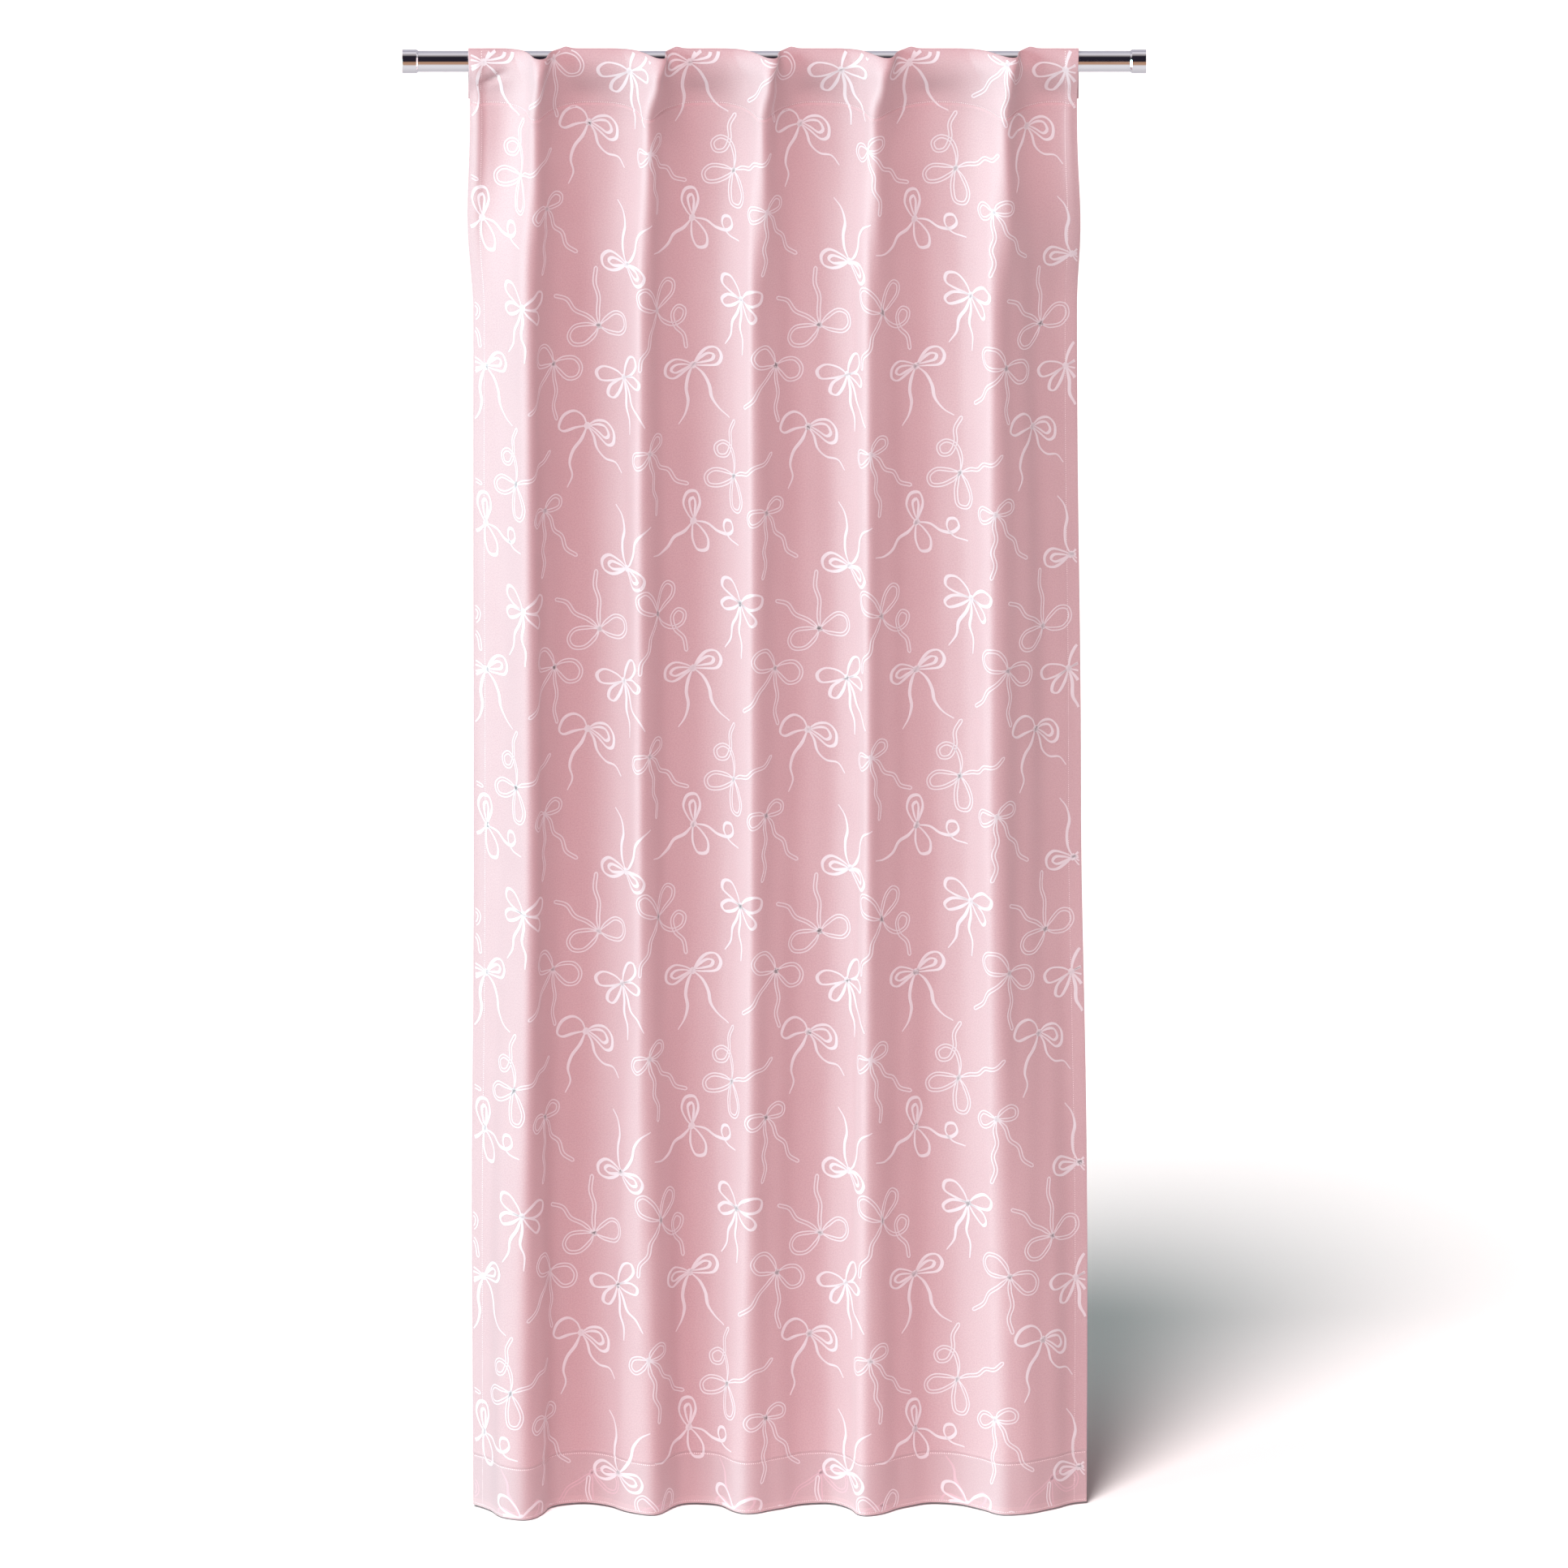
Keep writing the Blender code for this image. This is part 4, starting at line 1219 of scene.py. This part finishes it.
def ink(name, colour, thin_colour):
    """Pale matt ink that lets a little of the cloth through."""
    material, tree, shader = new_material(name)
    place = tree.nodes.new("ShaderNodeTexCoord").outputs["Object"]
    grain = noise_texture(tree, place, scale=500.0, detail=2.0)
    patches = noise_texture(tree, place, scale=60.0, detail=2.0)
    share = math_node(tree, "MULTIPLY", math_node(tree, "ADD", grain, patches), 0.5)
    tree.links.new(colour_mix(tree, share, colour, thin_colour), shader.inputs["Base Color"])
    shader.inputs["Roughness"].default_value = 0.6
    shader.inputs["Sheen Weight"].default_value = 0.25
    bump(tree, shader, grain, strength=0.3, distance=0.0001)
    return material


def sewing_thread(name, colour, dark):
    """Twisted thread with darker strands."""
    material, tree, shader = new_material(name)
    place = tree.nodes.new("ShaderNodeTexCoord").outputs["Object"]
    strands = noise_texture(tree, place, scale=1800.0, detail=1.0)
    tree.links.new(colour_mix(tree, strands, colour, dark), shader.inputs["Base Color"])
    shader.inputs["Roughness"].default_value = 0.5
    bump(tree, shader, strands, strength=0.4, distance=0.0001)
    return material


def polished_plate(name, tint):
    """Polished plating with faint drawing lines and small marks."""
    material, tree, shader = new_material(name)
    place = tree.nodes.new("ShaderNodeTexCoord").outputs["Object"]
    stretch = tree.nodes.new("ShaderNodeMapping")
    stretch.inputs["Scale"].default_value = (6.0, 900.0, 900.0)
    tree.links.new(place, stretch.inputs["Vector"])
    lines = noise_texture(tree, stretch.outputs["Vector"], scale=1.0, detail=2.0)
    marks = noise_texture(tree, place, scale=45.0, detail=4.0)
    rough = math_node(tree, "ADD", math_node(tree, "MULTIPLY", marks, 0.10), 0.03)
    tree.links.new(rough, shader.inputs["Roughness"])
    shader.inputs["Base Color"].default_value = tint
    shader.inputs["Metallic"].default_value = 1.0
    bump(tree, shader, lines, strength=0.06, distance=0.00004)
    return material


# Studio


def aim(thing, place, target):
    """Put a lamp or camera at a place, looking at the target."""
    direction = np.array(target, float) - np.array(place, float)
    thing.location = place
    flat = math.hypot(direction[0], direction[1])
    pitch = math.atan2(direction[2], flat)
    yaw = math.atan2(-direction[0], direction[1])
    thing.rotation_euler = (math.pi / 2 + pitch, 0, yaw)


def build_camera():
    """A long lens a little above the curtain, framed as the photograph is."""
    elevation = math.radians(VIEW_ELEVATION)
    right = (PHOTO_PIXELS / 2 - ROD_CENTRE_PIXEL[0]) * METRES_PER_PIXEL
    down = (PHOTO_PIXELS / 2 - ROD_CENTRE_PIXEL[1]) * METRES_PER_PIXEL
    target = (right, 0.0, -down / math.cos(elevation))
    place = (right, -CAMERA_DISTANCE * math.cos(elevation),
             target[2] + CAMERA_DISTANCE * math.sin(elevation))
    data = bpy.data.cameras.new("camera")
    data.sensor_width = SENSOR_MM
    data.lens = SENSOR_MM * CAMERA_DISTANCE / (PHOTO_PIXELS * METRES_PER_PIXEL)
    data.clip_end = CAMERA_SEES_TO
    camera = bpy.data.objects.new("camera", data)
    bpy.context.scene.collection.objects.link(camera)
    aim(camera, place, target)
    bpy.context.scene.camera = camera


def mixed_shader(tree, share, first, second):
    """The first shader with a share of the second."""
    node = tree.nodes.new("ShaderNodeMixShader")
    for socket, result in zip(node.inputs, (share, first, second)):
        tree.links.new(result, socket)
    return node.outputs[0]


def build_floor():
    """A white floor, brighter to the camera alone, so that it stays white round its shadow."""
    bpy.ops.mesh.primitive_plane_add(size=FLOOR_SIZE, location=(0, 0, FLOOR_HEIGHT))
    floor = bpy.context.object
    floor.name = "studio_floor"
    material, tree, shader = new_material("studio_floor")
    shader.inputs["Base Color"].default_value = FLOOR_WHITE
    shader.inputs["Roughness"].default_value = 1.0
    shader.inputs["Specular IOR Level"].default_value = 0.0
    gain = tree.nodes.new("ShaderNodeBsdfDiffuse")
    gain.inputs["Color"].default_value = FLOOR_GAIN
    brighter = tree.nodes.new("ShaderNodeAddShader")
    tree.links.new(shader.outputs[0], brighter.inputs[0])
    tree.links.new(gain.outputs[0], brighter.inputs[1])
    seen = tree.nodes.new("ShaderNodeLightPath").outputs["Is Camera Ray"]
    surface = mixed_shader(tree, seen, shader.outputs[0], brighter.outputs[0])
    tree.links.new(surface, tree.nodes["Material Output"].inputs["Surface"])
    floor.data.materials.append(material)
    floor.visible_glossy = False


def build_lamps():
    """Distant soft lamps round the curtain."""
    for name, (azimuth, elevation, strength, width, colour, in_metal) in LAMPS.items():
        data = bpy.data.lights.new(name, "SUN")
        data.energy = strength
        data.color = colour
        data.angle = math.radians(width)
        lamp = bpy.data.objects.new(name, data)
        bpy.context.scene.collection.objects.link(lamp)
        up = math.radians(elevation)
        turned = math.radians(azimuth)
        level = LAMP_AWAY * math.cos(up)
        place = (level * math.sin(turned), -level * math.cos(turned), LAMP_AWAY * math.sin(up))
        aim(lamp, place, (0, 0, 0))
        lamp.visible_glossy = in_metal


def build_world():
    """A pale room, white to the camera; polished metal sees its bands of ceiling, wall and floor."""
    world = bpy.data.worlds.new("studio")
    bpy.context.scene.world = world
    world.use_nodes = True
    tree = world.node_tree
    tree.nodes.clear()
    out = tree.nodes.new("ShaderNodeOutputWorld")
    light = tree.nodes.new("ShaderNodeBackground")
    light.inputs["Strength"].default_value = ROOM_STRENGTH
    white = tree.nodes.new("ShaderNodeBackground")
    white.inputs["Color"].default_value = (1.0, 1.0, 1.0, 1.0)
    room = tree.nodes.new("ShaderNodeBackground")
    direction = tree.nodes.new("ShaderNodeTexCoord").outputs["Generated"]
    parts = tree.nodes.new("ShaderNodeSeparateXYZ")
    tree.links.new(direction, parts.inputs[0])
    level = math_node(tree, "SUBTRACT", 1.0, math_node(tree, "ABSOLUTE", parts.outputs["Z"]))
    level = math_node(tree, "POWER", level, 2.0)
    tree.links.new(colour_mix(tree, level, ROOM_ABOVE, ROOM_AROUND), light.inputs["Color"])
    ramp = tree.nodes.new("ShaderNodeValToRGB")
    ramp.color_ramp.interpolation = "LINEAR"
    upward = math_node(tree, "ARCTAN2", parts.outputs["Z"],
                       math_node(tree, "MULTIPLY", parts.outputs["Y"], -1.0))
    share = math_node(tree, "ADD", math_node(tree, "MULTIPLY", upward, 0.5 / math.pi), 0.5)
    tree.links.new(share, ramp.inputs["Fac"])
    band = ramp.color_ramp
    while len(band.elements) > 1:
        band.elements.remove(band.elements[-1])
    for number, (degrees, colour) in enumerate(ROOM_BANDS):
        position = degrees / 360 + 0.5
        stop = band.elements[0] if number == 0 else band.elements.new(position)
        stop.position = position
        stop.color = (*colour, 1.0)
    tree.links.new(ramp.outputs["Color"], room.inputs["Color"])
    rays = tree.nodes.new("ShaderNodeLightPath").outputs
    lit = mixed_shader(tree, rays["Is Glossy Ray"], light.outputs[0], room.outputs[0])
    seen = mixed_shader(tree, rays["Is Camera Ray"], lit, white.outputs[0])
    tree.links.new(seen, out.inputs["Surface"])


# The whole


def dress():
    """Every visible piece, each riding on the part and standing in for its plain solid."""
    cloth = HungCloth()
    panel_cloth = woven_cloth("pink_blackout_weave")
    loop_cloth = woven_cloth("pink_loop_weave")
    white_ink = ink("off_white_ink", *OFF_WHITE_INK)
    faint_ink = ink("ink_seen_through_cloth", *INK_SEEN_THROUGH)
    thread = sewing_thread("pink_sewing_thread", *SEWING_THREAD)
    rod_plate = polished_plate("polished_rod_plate", ROD_PLATING)
    cap_plate = polished_plate("polished_cap_plate", CAP_PLATING)

    rod = build_rod(rod_plate)
    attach(rod, "root")
    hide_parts("curtain_rod")
    for name, side, node in (("cap_left", -1, "end_cap_left"), ("cap_right", 1, "end_cap_right")):
        cap = build_cap(name, side, cap_plate)
        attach(cap, "root")
        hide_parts(node)

    panel = build_panel(cloth, panel_cloth)
    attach(panel, "root")
    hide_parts("curtain_panel")
    on_it = build_print(cloth, white_ink, faint_ink)
    on_it.append(build_stitches(cloth, thread))
    for piece in on_it:
        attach(piece, "root")

    for number in range(1, LOOPS + 1):
        loop, length = build_loop(cloth, number, loop_cloth)
        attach(loop, "root")
        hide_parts(f"back_tab_{number}")


dress()
build_floor()
build_world()
build_lamps()
build_camera()
bpy.context.scene.view_settings.view_transform = "Standard"
